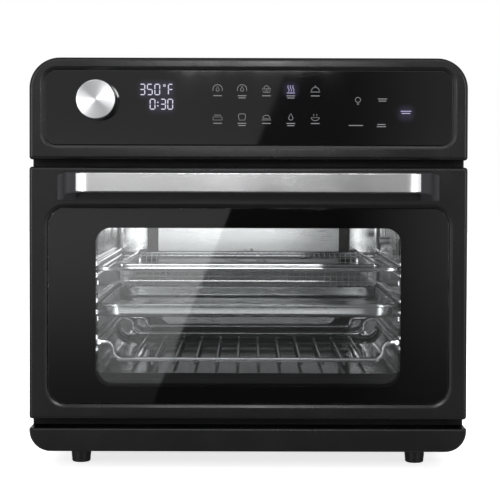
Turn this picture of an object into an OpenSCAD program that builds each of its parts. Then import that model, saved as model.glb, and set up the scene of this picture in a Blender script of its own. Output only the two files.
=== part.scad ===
// Countertop toaster oven with a drop-down glass door, a convection fan and steam.
// X runs across the front, Y from front to back, Z up. The origin is at the middle of the
// bounding box's base. Depths are counted backwards from the door's front face.

/* [Body] */
// Width across the door and the control panel
body_w = 430; // [426:1:438]
// Depth from the door's front face to the rear panel
body_d = 391; // [388:1:400]
// Radius of the casing's two upper corners
corner_r = 30; // [20:1:32]
// Thickness of the casing's sheet steel
sheet_t = 1; // [0.8:0.1:1.2]
// Height of the feet
foot_h = 20; // [16:1:24]
// Height of the base, which the drip tray shares
base_h = 23; // [23:1:26]
// How far the rear spacers hold the casing off a wall
spacer_d = 12; // [8:1:20]

/* [Control panel] */
// Height of the control panel
panel_h = 100; // [98:1:106]
// Diameter of the selector knob
knob_d = 39; // [34:1:42]
// How far the knob stands out
knob_reach = 22; // [18:1:26]

/* [Door] */
// Height of the door
door_h = 248; // [248:1:252]
// Gap above the door
door_gap = 7; // [6:1:9]
// How far the handle stands out
handle_reach = 41; // [36:1:42]
// Height of the handle's bar
handle_h = 20; // [16:1:22]

/* [Cavity] */
// Width of the cooking cavity
cavity_w = 314; // [312:1:316]
// Height of the cooking cavity
cavity_h = 173; // [172:1:174]
// Distance between the three shelf levels
level_pitch = 37.25; // [37:0.25:38]
// Number of lengthwise wires in the wire rack
rack_wires = 12; // [8:1:14]

/* [Hidden] */
$fn = 64;

half_w = body_w / 2;
side_x = half_w - 1;                       // outer face of the casing's sides
inner_x = side_x - sheet_t;                // inner face of the casing's sides
base_top = foot_h + base_h;
door_z0 = base_top + 9;
door_z1 = door_z0 + door_h;
panel_z0 = door_z1 + door_gap;
body_h = panel_z0 + panel_h;
front_y = handle_reach - (handle_reach + body_d + spacer_d) / 2;

// Depths behind the door's front face
door_t = 19;
seam_d = 21.5;
frame_d = 22;
frame_t = 1.5;
liner_d = frame_d + frame_t;
liner_back = 326;
liner_t = 0.8;
chamber_d = liner_back + liner_t;
chamber_back = 350;
fan_port_x = 122;
fan_d = 340;
lamp_d = 110;
drip_d = 41;
rear_t = 1.5;

// Heights
cavity_z0 = door_z0 + 43;
cavity_z1 = cavity_z0 + cavity_h;
cavity_x = cavity_w / 2;
shelf_z = cavity_z1 + 16;
shelf_t = 1.2;
deck_z = shelf_z + shelf_t;
level_z = [for (i = [0:2]) cavity_z0 + 27 + i * level_pitch];
fan_z = cavity_z0 + 87;
lamp_z = cavity_z1 - 38;

// Door hinge
axis_d = 12;
axis_z = door_z0 + 9;
heel_r = axis_z - door_z0;                 // round heel under the back of the door
pin_r = 3;

// Windows and glasses
window_x = 150;
window_z0 = door_z0 + 32;
window_z1 = door_z0 + 188;
glass_x = half_w - 18;
glass_z0 = door_z0 + 15;
glass_z1 = door_z0 + 208;

// Handle
handle_z = door_z0 + 233;
bow_x = 150;
bow_r = handle_reach - 12;

// Knob and encoder
knob_x = -147.6;
knob_z = panel_z0 + 58;
shaft_r = 3;
run_gap = 0.05;

// Water tank, high up on the right
tank_x0 = 44;
tank_x1 = 176;
tank_d0 = 200;
tank_d1 = 335;
tank_top = body_h - 11;
pump_x = 90;

// Screw places: x, z
rear_screws = concat(
    [for (s = [-1, 1], z = [base_top + 15, 150, 250, 340]) [s * (inner_x - 8), z]],
    [for (x = [-120, 0, 120]) [x, body_h - 12]]
);
panel_screws = [for (s = [-1, 1], z = [130, 190, 250, 285]) [s * (half_w - 10), z]];
handle_screws = [for (s = [-1, 1]) [s * (bow_x + bow_r - 5.5), handle_z]];
cover_posts = [for (s = [-1, 1], z = [-58, 62]) [s * (fan_port_x - 26), fan_z + z]];
board_posts = [for (x = [-185, -75], d = [155, 285]) [x, d]];
foot_places = [for (s = [-1, 1], d = [55, 345]) [s * 170, d]];

// ---------- helpers ----------

// Moves depths behind the door's front face to the part's own Y
module at_front() {
    translate([0, front_y, 0]) children();
}

// Extrudes a drawing in X and Z from depth d over a length
module along_depth(d, length) {
    translate([0, d + length, 0]) rotate([90, 0, 0]) linear_extrude(length) children();
}

// Upright rectangle with rounded corners, wide about X = 0
module panel_2d(half, z0, z1, r) {
    translate([-half, z0 + r]) square([2 * half, z1 - z0 - 2 * r]);
    translate([-half + r, z0]) square([2 * (half - r), z1 - z0]);
    for (s = [-1, 1], z = [z0 + r, z1 - r])
        translate([s * (half - r), z]) circle(r);
}

// The same with rounded upper corners only
module arch_2d(half, z0, z1, r) {
    translate([-half, z0]) square([2 * half, z1 - z0 - r]);
    translate([-half + r, z0]) square([2 * (half - r), z1 - z0]);
    for (s = [-1, 1]) translate([s * (half - r), z1 - r]) circle(r);
}

// The same with rounded lower corners only
module tub_2d(half, z0, z1, r) {
    intersection() {
        panel_2d(half, z0, z1 + 2 * r, r);
        translate([-half, z0]) square([2 * half, z1 - z0]);
    }
}

// Round rod along Y
module rod_y(x, z, d, length, r) {
    translate([x, d, z]) rotate([-90, 0, 0]) cylinder(r = r, h = length);
}

// Round rod along X
module rod_x(x, d, z, length, r) {
    translate([x, d, z]) rotate([0, 90, 0]) cylinder(r = r, h = length);
}

// Round rod between two points, with a slightly fuller ball at its far end
module link(a, b, r) {
    v = b - a;
    length = norm(v);
    translate(a) rotate([0, acos(v[2] / length), atan2(v[1], v[0])]) cylinder(r = r, h = length);
    translate(b) sphere(1.04 * r);
}

// Box given by its two corners in x, depth and z
module block(a, b) {
    translate(a) cube(b - a);
}

// Puts a copy of each child on both sides of X = 0
module both_sides() {
    children();
    mirror([1, 0, 0]) children();
}

// Screws whose heads face backwards: places in x and z, depth under the head
module rear_facing_screws(places, d, head_r, head_h, shank_r, shank_l) {
    for (p = places) {
        rod_y(p[0], p[1], d, head_h, head_r);
        rod_y(p[0], p[1], d - shank_l, shank_l, shank_r);
    }
}

// Clearance holes for such screws
module screw_holes(places, d, length, r) {
    for (p = places) rod_y(p[0], p[1], d, length, r);
}

// Row of upright vent slots in a face that looks along Y
module slots_y(x0, pitch, count, z0, height, d, length) {
    for (i = [0:count - 1]) translate([x0 + i * pitch, d, z0]) cube([3, length, height]);
}

// ---------- casing ----------

module outer_wrap() {
    color("#1b1b1d") at_front() difference() {
        along_depth(seam_d, body_d - seam_d) difference() {
            arch_2d(side_x, base_top, body_h - 1, corner_r - 1);
            translate([0, -1]) arch_2d(inner_x, base_top - 1, body_h - sheet_t, corner_r - 1 - sheet_t);
        }
        block([tank_x0 - 3.5, tank_d0 - 3.5, body_h - 10], [tank_x1 + 3.5, tank_d1 + 3.5, body_h + 5]);
        for (i = [0:9]) block([-half_w - 5, 300 + i * 7, 330], [half_w + 5, 303 + i * 7, 365]);
    }
}

module rear_panel() {
    color("#202022") at_front() difference() {
        along_depth(body_d - rear_t, rear_t)
            arch_2d(inner_x - 0.1, base_top + 0.5, body_h - sheet_t - 1.1, corner_r - 2.2);
        screw_holes(rear_screws, body_d - 5, 10, 2.1);
        rod_y(-150, base_top + 32, body_d - 5, 10, 9.2);
        slots_y(-105, 7, 31, 320, 45, body_d - 5, 10);
        slots_y(-49, 7, 15, fan_z - 32, 64, body_d - 5, 10);
        slots_y(60, 7, 15, base_top + 20, 30, body_d - 5, 10);
    }
}

module base_pan() {
    color("#1f1f20") at_front() difference() {
        along_depth(drip_d + 1, body_d - drip_d - 1) tub_2d(side_x, foot_h, base_top, base_h - 0.5);
        along_depth(drip_d + 3.5, body_d - drip_d - 6)
            translate([0, 2.5]) tub_2d(side_x - 2.5, foot_h, base_top + 2, base_h - 3);
        for (i = [0:11]) block([-66 + i * 12, 120, foot_h - 5], [-62 + i * 12, 300, base_top - 10]);
    }
}

module feet() {
    color("#161616") at_front() for (p = foot_places) translate([p[0], p[1], 0]) difference() {
        rotate_extrude() polygon([[0, 0], [8.5, 0], [10, 1.5], [10, foot_h], [0, foot_h]]);
        translate([0, 0, -1]) cylinder(r = 3.2, h = 9);
    }
}

module rear_spacers() {
    color("#222222") at_front() for (s = [-1, 1]) difference() {
        rod_y(s * 150, 300, body_d, spacer_d, 11);
        rod_y(s * 150, 300, body_d + 3, spacer_d, 8.5);
    }
}

module case_screws() {
    color("#8a8c90") at_front() rear_facing_screws(rear_screws, body_d, 4, 2.2, 1.9, 10);
}

module cord_gland() {
    color("#161616") at_front() difference() {
        union() {
            rod_y(-150, base_top + 32, body_d, 4, 13);
            rod_y(-150, base_top + 32, body_d - 12, 12, 9);
            rod_y(-150, base_top + 32, body_d + 4, 6, 8);
        }
        rod_y(-150, base_top + 32, body_d - 15, 30, 3.9);
    }
}

// ---------- structure ----------

module front_frame() {
    color("#2a2a2c") at_front() difference() {
        along_depth(frame_d, frame_t) panel_2d(inner_x - 0.2, base_top + 0.5, panel_z0 + 5, 2);
        along_depth(frame_d - 1, frame_t + 2) panel_2d(cavity_x, cavity_z0, cavity_z1, 14);
        both_sides() block([182.5, frame_d - 1, axis_z - 7], [188.5, frame_d + 5, axis_z + 7]);
    }
}

module door_gasket() {
    color("#3a3a3c") at_front() along_depth(door_t + 0.4, frame_d - door_t - 0.4) difference() {
        panel_2d(cavity_x + 13, cavity_z0 - 11, cavity_z1 + 11, 20);
        panel_2d(cavity_x + 8, cavity_z0 - 6, cavity_z1 + 6, 16);
    }
}

module service_shelf() {
    color("#b9bcc0") at_front() {
        difference() {
            block([-inner_x + 0.5, liner_d + 0.5, shelf_z], [inner_x - 0.5, body_d - 5, deck_z]);
            translate([187, 120, shelf_z - 1]) cylinder(r = 6, h = 5);
        }
        for (p = board_posts) translate([p[0], p[1], deck_z - 0.1]) cylinder(r = 3.5, h = 6.1);
        both_sides() block([cavity_x + 20, 60, cavity_z1 - 12], [cavity_x + 21.2, 90, shelf_z + 0.2]);
    }
}

// ---------- control panel ----------

module control_bezel() {
    color("#232325") at_front() difference() {
        union() {
            along_depth(0, seam_d) arch_2d(half_w, panel_z0 + 3, body_h, corner_r);
            along_depth(0, seam_d) panel_2d(half_w, panel_z0, panel_z0 + 20, 3);
        }
        along_depth(-1, 4.2) panel_2d(half_w - 14.6, panel_z0 + 14, panel_z0 + 88, 12.4);
        along_depth(-1, seam_d + 2) panel_2d(half_w - 23, panel_z0 + 21, panel_z0 + 81, 8);
        along_depth(6, seam_d) arch_2d(half_w - 3, panel_z0 + 3, body_h - 3, corner_r - 3);
    }
}

module control_glass() {
    color("#0a0a0c") at_front() difference() {
        along_depth(0.6, 2.5) panel_2d(half_w - 15, panel_z0 + 14.4, panel_z0 + 87.6, 12);
        rod_y(knob_x, knob_z, -1, 6, 4.5);
    }
}

module touch_board() {
    color("#15572e") at_front() difference() {
        union() {
            block([-187, 9, panel_z0 + 24], [187, 10.6, panel_z0 + 78]);
            for (i = [0:4], row = [0, 1])
                translate([i * 24, 0, row * 27]) block([-35, 5, panel_z0 + 34], [-26, 9.1, panel_z0 + 44]);
            block([20, 10.5, panel_z0 + 40], [45, 13, panel_z0 + 65]);
            block([80, 10.5, panel_z0 + 30], [130, 15, panel_z0 + 38]);
        }
        rod_y(knob_x, knob_z, 5, 10, 4.6);
    }
}

module display_module() {
    color("#101014") at_front() block([-128, 3.8, panel_z0 + 43], [-52, 8.8, panel_z0 + 78]);
}

module encoder() {
    color("#9c9ea2") at_front() difference() {
        union() {
            block([knob_x - 7, 10.8, knob_z - 7], [knob_x + 7, 17, knob_z + 7]);
            rod_y(knob_x, knob_z, 3.6, 8, 4.2);
        }
        rod_y(knob_x, knob_z, 0, 14, shaft_r + run_gap);
    }
}

module power_board() {
    color("#1c5c33") at_front() {
        block([-195, 145, deck_z + 6.1], [-65, 295, deck_z + 7.7]);
        color("#303236") block([-120, 160, deck_z + 7.6], [-80, 200, deck_z + 40]);
        color("#b0b2b6") for (i = [0:5])
            block([-190, 165 + i * 7, deck_z + 7.6], [-165, 167.5 + i * 7, deck_z + 32]);
        color("#b0b2b6") block([-190, 165, deck_z + 7.6], [-165, 202.5, deck_z + 10.5]);
        color("#26262c") for (i = [0:2])
            translate([-150 + i * 22, 225, deck_z + 7.6]) cylinder(r = 8, h = 24);
        color("#dddddd") for (i = [0:3])
            block([-185 + i * 28, 255, deck_z + 7.6], [-163 + i * 28, 283, deck_z + 23]);
    }
}

// ---------- cavity ----------

module cavity_liner() {
    color("#c9cccf") at_front() difference() {
        along_depth(liner_d, chamber_d - liner_d)
            panel_2d(cavity_x + liner_t, cavity_z0 - liner_t, cavity_z1 + liner_t, 14 + liner_t);
        along_depth(liner_d - 1, liner_back - liner_d + 1)
            panel_2d(cavity_x, cavity_z0, cavity_z1, 14);
        along_depth(liner_back - 1, 5) panel_2d(fan_port_x, cavity_z0 + 5, cavity_z1 - 5, 20);
        rod_x(cavity_x - 3, lamp_d, lamp_z, 6, 20.2);
        rod_x(cavity_x - 3, 230, cavity_z1 - 50, 6, 4.3);
        for (d = [70, 250]) rod_x(cavity_x - 3, d, cavity_z1 - 18, 6, 3.5);
        rod_x(-cavity_x - 3, 250, cavity_z1 - 28, 6, 2.2);
    }
}

// One side's pressed guide plate: two half-buried rails at each shelf level
module rack_guide() {
    difference() {
        block([cavity_x - 0.8, 40, cavity_z0 + 15], [cavity_x, 318, cavity_z0 + 112]);
        for (i = [0:2], d = [80, 180, 270])
            block([cavity_x - 2, d, level_z[i] - 18.5], [cavity_x + 1, d + 12, level_z[i] - 14]);
    }
    for (z = level_z, s = [-1, 1]) {
        rod_y(cavity_x - 3, z + s * 5.8, 46, 266, 2.6);
        translate([cavity_x - 3, 46, z + s * 5.8]) sphere(2.6);
    }
}

module rack_guide_right() {
    color("#d0d2d5") at_front() rack_guide();
}

module rack_guide_left() {
    color("#d0d2d5") at_front() mirror([1, 0, 0]) rack_guide();
}

module fan_chamber() {
    color("#b4b7ba") at_front() difference() {
        union() {
            along_depth(chamber_d, chamber_back + liner_t - chamber_d)
                panel_2d(fan_port_x + 1, cavity_z0 + 4, cavity_z1 - 4, 21);
            along_depth(chamber_d, liner_t) panel_2d(fan_port_x + 11, cavity_z0 + 0.5, cavity_z1 - 0.5, 20);
        }
        along_depth(chamber_d - 1, chamber_back - chamber_d + 1)
            panel_2d(fan_port_x + 0.2, cavity_z0 + 4.8, cavity_z1 - 4.8, 20.2);
        rod_y(0, fan_z, chamber_back - 1, 5, 7);
        for (s = [-1, 1]) rod_y(s * 14, fan_z + 70.6, chamber_back - 1, 5, 3.5);
    }
}

module fan_cover() {
    color("#dfe1e3") at_front() {
        difference() {
            along_depth(314, 1) panel_2d(fan_port_x - 14, cavity_z0 + 17, cavity_z1 - 6, 22);
            for (ring = [1:3], i = [0:ring * 6 - 1])
                rotate_in_place(i * 60 / ring) rod_y(ring * 7, fan_z, 312, 5, 2.2);
            rod_y(0, fan_z, 312, 5, 2.2);
            screw_holes(cover_posts, 312, 6, 2);
        }
        for (p = cover_posts) difference() {
            rod_y(p[0], p[1], 315, chamber_back - 315, 4);
            rod_y(p[0], p[1], 314, 16, 2);
        }
    }
}

// Turns a child about the fan's axis
module rotate_in_place(angle) {
    translate([0, 0, fan_z]) rotate([0, angle, 0]) translate([0, 0, -fan_z]) children();
}

module cover_screws() {
    color("#a8aaad") at_front() for (p = cover_posts) {
        rod_y(p[0], p[1], 311.8, 2.2, 4);
        rod_y(p[0], p[1], 314, 12, 1.9);
    }
}

// Sheathed heating rod that runs to and fro across the width, ends on the right
module zigzag_rod(depths, reach, z, r, out_x) {
    last = len(depths) - 1;
    for (i = [0:last]) rod_x(-reach, depths[i], z, 2 * reach, r);
    for (i = [0:last - 1]) {
        s = (i % 2 == 0) ? -1 : 1;
        bend = (depths[i + 1] - depths[i]) / 2;
        translate([s * reach, depths[i] + bend, z]) rotate([0, 0, s < 0 ? 90 : -90])
            rotate_extrude(angle = 180) translate([bend, 0]) circle(r);
    }
    for (i = [0, last]) rod_x(reach, depths[i], z, out_x - reach, r);
}

module top_heater() {
    color("#77797c") at_front() zigzag_rod([70, 130, 190, 250], 115, cavity_z1 - 18, 3.2, 180);
}

module bottom_heater() {
    color("#77797c") at_front() {
        zigzag_rod([110, 230], 90, cavity_z0 - 6.5, 3.2, 180);
        for (x = [-90, 90], d = [110, 230])
            translate([x, d, cavity_z0 - 5]) cylinder(r = 2.2, h = 5 - liner_t);
    }
}

module ring_heater() {
    color("#77797c") at_front() {
        translate([0, fan_d, fan_z]) rotate([90, 0, 0]) rotate([0, 0, 90 + asin(14 / 72)])
            rotate_extrude(angle = 360 - 2 * asin(14 / 72)) translate([72, 0]) circle(3.2);
        for (s = [-1, 1]) {
            translate([s * 14, fan_d, fan_z + 70.6]) sphere(3.5);
            rod_y(s * 14, fan_z + 70.6, fan_d, 22, 3.2);
        }
    }
}

module fan_motor() {
    color("#8e9094") at_front() difference() {
        union() {
            block([-33, 358, fan_z - 26], [33, 374, fan_z + 26]);
            color("#b06a3a") block([-17, 355, fan_z + 12], [17, 377, fan_z + 30]);
            rod_y(0, fan_z, chamber_back + liner_t, 26, 9);
            for (s = [-1, 1], z = [-20, 20]) rod_y(s * 27, fan_z + z, chamber_back + liner_t, 10, 3);
        }
        rod_y(0, fan_z, 345, 40, pin_r + run_gap);
    }
}

module oven_lamp() {
    color("#d8d5cc") at_front() {
        difference() {
            rod_x(cavity_x + liner_t, lamp_d, lamp_z, 32, 24);
            rod_x(cavity_x, lamp_d, lamp_z, 28, 21);
        }
        color("#f4efe0") rod_x(cavity_x + 9, lamp_d, lamp_z, 20, 7);
        color("#f4efe0") translate([cavity_x + 9, lamp_d, lamp_z]) sphere(7);
    }
}

module lamp_lens() {
    color("#e6eef0") at_front() {
        rod_x(cavity_x - 3.5, lamp_d, lamp_z, 3.4, 22);
        rod_x(cavity_x - 0.5, lamp_d, lamp_z, 3, 20);
    }
}

module temperature_probe() {
    color("#a9abae") at_front() {
        rod_x(-cavity_x - 12, 250, cavity_z1 - 28, 34, 2);
        rod_x(-cavity_x - liner_t - 5, 250, cavity_z1 - 28, 5, 6);
        rod_x(-cavity_x, 250, cavity_z1 - 28, 3, 5);
    }
}

// ---------- steam ----------

module steam_generator() {
    color("#a4a7aa") at_front() {
        block([cavity_x + 9, 195, cavity_z1 - 78], [cavity_x + 35, 265, cavity_z1 - 28]);
        for (d = [200, 254])
            block([cavity_x + liner_t, d, cavity_z1 - 70], [cavity_x + 9.5, d + 6, cavity_z1 - 36]);
        rod_x(cavity_x - 8, 230, cavity_z1 - 50, 18, 4);
        translate([cavity_x + 22, 230, cavity_z1 - 28.5]) cylinder(r = 3, h = 10.5);
    }
}

module water_pump() {
    color("#e4e4e2") at_front() {
        block([pump_x - 20, 90, deck_z], [pump_x + 20, 150, deck_z + 12]);
        color("#3c3e42") rod_y(pump_x, deck_z + 22, 92, 56, 17);
        rod_y(pump_x, deck_z + 8, 149, 9, 3);
        rod_x(pump_x + 16, 120, deck_z + 22, 14, 3);
    }
}

// Two lengths of silicone hose: tank dock to pump, and pump to steam generator
module water_hose() {
    out_z = deck_z + 22;
    in_x = cavity_x + 22;
    low_z = cavity_z1 - 6;
    route = [
        [pump_x + 30.2, 120, out_z], [187, 120, out_z], [187, 120, low_z],
        [in_x, 230, low_z], [in_x, 230, cavity_z1 - 17.8]
    ];
    color("#e8e4dc") at_front() {
        rod_y(pump_x, deck_z + 8, 158.2, 28.6, 4);
        difference() {
            for (i = [0:len(route) - 2]) link(route[i], route[i + 1], 4);
            translate([in_x, 230, cavity_z1 - 28]) cylinder(r = 8, h = 10);
        }
    }
}

module tank_dock() {
    color("#d5d6d8") at_front() {
        difference() {
            block([tank_x0 - 3, tank_d0 - 3, deck_z], [tank_x1 + 3, tank_d1 + 3, body_h - sheet_t - 1.2]);
            block([tank_x0 - 1.5, tank_d0 - 1.5, deck_z + 2], [tank_x1 + 1.5, tank_d1 + 1.5, body_h]);
        }
        rod_y(pump_x, deck_z + 8, tank_d0 - 13, 10.5, 3);
    }
}

module water_tank() {
    color("#9fb6c4") at_front() difference() {
        block([tank_x0, tank_d0, deck_z + 3], [tank_x1, tank_d1, tank_top]);
        block([tank_x0 + 2, tank_d0 + 2, deck_z + 5], [tank_x1 - 2, tank_d1 - 2, tank_top + 1]);
    }
}

module tank_lid() {
    color("#202022") at_front() difference() {
        union() {
            block([tank_x0 - 1.5, tank_d0 - 1.5, body_h - 4.5], [tank_x1 + 1.5, tank_d1 + 1.5, body_h - 0.5]);
            block([tank_x0, tank_d0, tank_top], [tank_x1, tank_d1, body_h - 4.4]);
        }
        translate([(tank_x0 + tank_x1) / 2, tank_d0 + 28, body_h + 3]) rotate([0, 90, 0])
            cylinder(r = 10, h = 60, center = true);
    }
}

// ---------- door hinges ----------

module hinge_bracket() {
    difference() {
        union() {
            block([176, liner_d, base_top + 5], [206, liner_d + 2, axis_z + 18]);
            block([184, axis_d, axis_z - 5], [187, liner_d + 0.5, axis_z + 5]);
            rod_x(184, axis_d, axis_z, 3, 5);
        }
        rod_x(183, axis_d, axis_z, 5, pin_r + 0.02);
    }
}

module hinge_bracket_right() {
    color("#9b9da1") at_front() hinge_bracket();
}

module hinge_bracket_left() {
    color("#9b9da1") at_front() mirror([1, 0, 0]) hinge_bracket();
}

module hinge_pins() {
    color("#c4c6c9") at_front() both_sides() {
        rod_x(183, axis_d, axis_z, 15, pin_r);
        rod_x(182, axis_d, axis_z, 1.5, 4);
    }
}

// Closing springs: close-wound coils on the pins
module door_springs() {
    color("#6f7276") at_front() both_sides() for (i = [0:3])
        translate([187.9 + i, axis_d, axis_z]) rotate([0, 90, 0])
            rotate_extrude() translate([4.3, 0]) circle(0.6);
}

module hinge_arm() {
    difference() {
        union() {
            rod_x(192.2, axis_d, axis_z, 2.6, 6);
            block([192.2, axis_d - 4, axis_z], [194.8, axis_d + 5, axis_z + 47]);
            block([194, axis_d + 3, axis_z + 22], [205, axis_d + 5, axis_z + 47]);
        }
        rod_x(190, axis_d, axis_z, 8, pin_r + run_gap);
    }
}

module hinge_arm_right() {
    color("#a0a2a6") at_front() hinge_arm();
}

module hinge_arm_left() {
    color("#a0a2a6") at_front() mirror([1, 0, 0]) hinge_arm();
}

// ---------- door ----------

module door_frame() {
    color("#1e1e20") at_front() difference() {
        along_depth(0, door_t - 1) panel_2d(half_w, door_z0, door_z1, 3);
        along_depth(-1, 5.8) panel_2d(glass_x + 0.4, glass_z0 - 0.4, glass_z1 + 0.4, 18.4);
        along_depth(-1, door_t + 2) panel_2d(184, door_z0 + 28, door_z0 + 195, 12);
        along_depth(5.5, door_t) difference() {
            panel_2d(half_w - 3, door_z0 + 3, door_z1 - 3, 2);
            panel_2d(187, door_z0 + 25, door_z0 + 198, 14);
        }
        // The heel is round about the hinge, so that it turns clear of the casing
        difference() {
            block([-half_w - 1, axis_d, door_z0 - 1], [half_w + 1, door_t + 1, axis_z]);
            rod_x(-half_w - 2, axis_d, axis_z, body_w + 4, heel_r);
        }
        // Pockets for the hinges
        both_sides() block([181, 5.5, door_z0 - 1], [200, door_t + 1, glass_z0 - 0.5]);
        for (p = handle_screws) rod_y(p[0], p[1], -1, 8, 2.1);
    }
}

module door_outer_glass() {
    color("#0c0c0e") at_front() along_depth(0.5, 4) panel_2d(glass_x, glass_z0, glass_z1, 18);
}

module door_inner_glass() {
    color("#7f8a8c") at_front() along_depth(14.5, 3.2) panel_2d(182, door_z0 + 30, door_z0 + 193, 10);
}

module door_inner_panel() {
    color("#b6b8bb") at_front() difference() {
        along_depth(door_t - 1, 1) panel_2d(half_w - 3.2, door_z0 + 5.5, door_z1 - 3.2, 2);
        along_depth(door_t - 2, 3) panel_2d(window_x + 1, window_z0 - 0.5, window_z1 + 0.5, 15);
        both_sides() block([181, door_t - 3, door_z0], [206, door_t + 2, axis_z + 49]);
        screw_holes(panel_screws, door_t - 5, 8, 2);
    }
}

// Plan of the bowed handle between two radii, up to an angle from the front
module bow(inner, outer, z0, z1, angle) {
    centre_d = -handle_reach + 12 + bow_r - 10;
    translate([-bow_x, centre_d - outer, z0]) cube([2 * bow_x, outer - inner, z1 - z0]);
    both_sides() translate([bow_x, centre_d, z0]) rotate([0, 0, -90]) rotate_extrude(angle = angle)
        translate([inner, 0]) square([outer - inner, z1 - z0]);
}

module handle_core() {
    z0 = handle_z - handle_h / 2;
    z1 = handle_z + handle_h / 2;
    centre_d = -handle_reach + 12 + bow_r - 10;
    outer_r = handle_reach + centre_d - 2;
    color("#2b2b2e") at_front() difference() {
        union() {
            bow(outer_r - 11, outer_r, z0, z1, 90);
            both_sides() block([bow_x + outer_r - 11, centre_d - 0.1, z0], [bow_x + outer_r, 0, z1]);
            both_sides() hull() {
                block([bow_x + outer_r - 9, -18, z0 + 1], [bow_x + outer_r - 1, -17, z1 - 1]);
                block([bow_x + outer_r - 10, -2, z0 - 8], [bow_x + outer_r + 8, 0, z1 - 2]);
            }
        }
        for (p = handle_screws) rod_y(p[0], p[1], -9, 12, 2.05);
    }
}

module handle_trim() {
    centre_d = -handle_reach + 12 + bow_r - 10;
    outer_r = handle_reach + centre_d - 2;
    color("#d4d6d8") at_front()
        bow(outer_r, outer_r + 2, handle_z - handle_h / 2 + 1, handle_z + handle_h / 2 - 1, 28);
}

module door_screws() {
    color("#a8aaad") at_front() {
        rear_facing_screws(panel_screws, door_t, 3.2, 1.4, 1.8, 8);
        rear_facing_screws(handle_screws, 5.5, 4, 2.4, 2, 13);
    }
}

// ---------- what stands in the cavity ----------

// Half of a rail that steps down from the guide to a lower plane, on the right
module stepped_rail(x_out, z_high, x_step, z_low, d, r) {
    drop = z_high - z_low;
    bend = drop / 2;
    rod_x(x_step + bend, d, z_high, x_out - x_step - bend, r);
    translate([x_step + bend, d, z_high - bend]) rotate([90, 0, 0]) rotate([0, 0, 90])
        rotate_extrude(angle = 90) translate([bend, 0]) circle(r);
    translate([x_step - bend, d, z_low + bend]) rotate([90, 0, 0]) rotate([0, 0, -90])
        rotate_extrude(angle = 90) translate([bend, 0]) circle(r);
    rod_x(0, d, z_low, x_step - bend, r);
}

module wire_rack() {
    rail_z = level_z[0];
    plane_z = rail_z - 18;
    front_d = 58;
    back_d = 304;
    side_x0 = cavity_x - 4.8;
    wire_r = 1.7;
    pitch = 2 * 119.5 / (rack_wires - 1);
    color("#dcdee0") at_front() {
        both_sides() {
            rod_y(side_x0, rail_z, front_d, back_d + 6 - front_d, 2.4);
            translate([side_x0, front_d, rail_z]) sphere(2.4);
            translate([side_x0, back_d + 6, rail_z]) sphere(2.4);
            stepped_rail(side_x0, rail_z, 139, plane_z, front_d, 2.4);
            stepped_rail(side_x0, rail_z, 139, plane_z, back_d, 2.4);
            stepped_rail(side_x0, rail_z, 122, rail_z - 10, back_d + 6, 2.4);
        }
        for (i = [0:rack_wires - 1])
            rod_y(-119.5 + i * pitch, plane_z - 1.9 - wire_r, front_d - 2, back_d - front_d + 4, wire_r);
    }
}

module baking_tray() {
    rim_z = level_z[1] + 1.6;
    plan_x = cavity_x - 7;
    color("#c3c6c9") at_front() difference() {
        union() {
            translate([0, 0, rim_z - 14]) linear_extrude(14) tray_2d(plan_x, 60, 302, 20);
            translate([0, 0, rim_z - 3]) linear_extrude(3) tray_2d(plan_x + 4, 57, 305, 23);
        }
        translate([0, 0, rim_z - 13.2]) linear_extrude(20) tray_2d(plan_x - 0.8, 60.8, 301.2, 19.2);
    }
}

// Rounded rectangle in plan, wide about X = 0, between two depths
module tray_2d(half, d0, d1, r) {
    translate([-half, d0 + r]) square([2 * half, d1 - d0 - 2 * r]);
    translate([-half + r, d0]) square([2 * (half - r), d1 - d0]);
    for (s = [-1, 1], d = [d0 + r, d1 - r]) translate([s * (half - r), d]) circle(r);
}

module basket_frame() {
    z = level_z[2];
    rim_z = z + 3.6;
    side_x0 = cavity_x - 4.8;
    color("#dcdee0") at_front() {
        both_sides() {
            rod_y(side_x0, z, 58, 248, 2.4);
            for (d = [58, 306]) translate([side_x0, d, z]) sphere(2.5);
            rod_y(132, rim_z, 60, 246, 1.8);
        }
        for (d = [58, 306]) rod_x(-side_x0, d, z, 2 * side_x0, 2.2);
        for (d = [60, 306]) {
            rod_x(-132, d, rim_z, 264, 1.7);
            both_sides() translate([132, d, rim_z]) sphere(1.95);
        }
    }
}

module basket_mesh() {
    top_z = level_z[2] + 1.7;
    color("#b9bcc0") at_front() difference() {
        translate([0, 0, top_z - 20]) linear_extrude(20) tray_2d(131.5, 62.5, 303.5, 4);
        translate([0, 0, top_z - 18.8]) linear_extrude(20) tray_2d(130.3, 63.7, 302.3, 3);
    }
}

module drip_tray() {
    color("#1f1f21") at_front() difference() {
        along_depth(0, drip_d) tub_2d(half_w, foot_h, base_top, base_h - 0.5);
        along_depth(3, drip_d - 6) translate([0, 3]) tub_2d(half_w - 4, foot_h, base_top + 2, base_h - 4);
    }
}

// ---------- knob and fan ----------

module knob() {
    r = knob_d / 2;
    color("#c7c9cc") at_front() translate([knob_x, 0, knob_z]) rotate([90, 0, 0]) difference() {
        rotate_extrude() polygon([
            [0, 1], [r, 1], [r, knob_reach - 2.2], [r - 1.2, knob_reach - 1], [0, knob_reach - 1]
        ]);
        translate([0, 0, -1]) cylinder(r = shaft_r + 0.02, h = 15);
        difference() {
            translate([0, 0, -1]) cylinder(r = r - 2, h = 14);
            translate([0, 0, -2]) cylinder(r = 7, h = 20);
        }
    }
}

module knob_cap() {
    color("#e6e7e9") at_front() rod_y(knob_x, knob_z, -knob_reach, 1, knob_d / 2 - 2.2);
}

module encoder_shaft() {
    color("#b3b5b8") at_front() rod_y(knob_x, knob_z, -13.8, 26, shaft_r);
}

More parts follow.
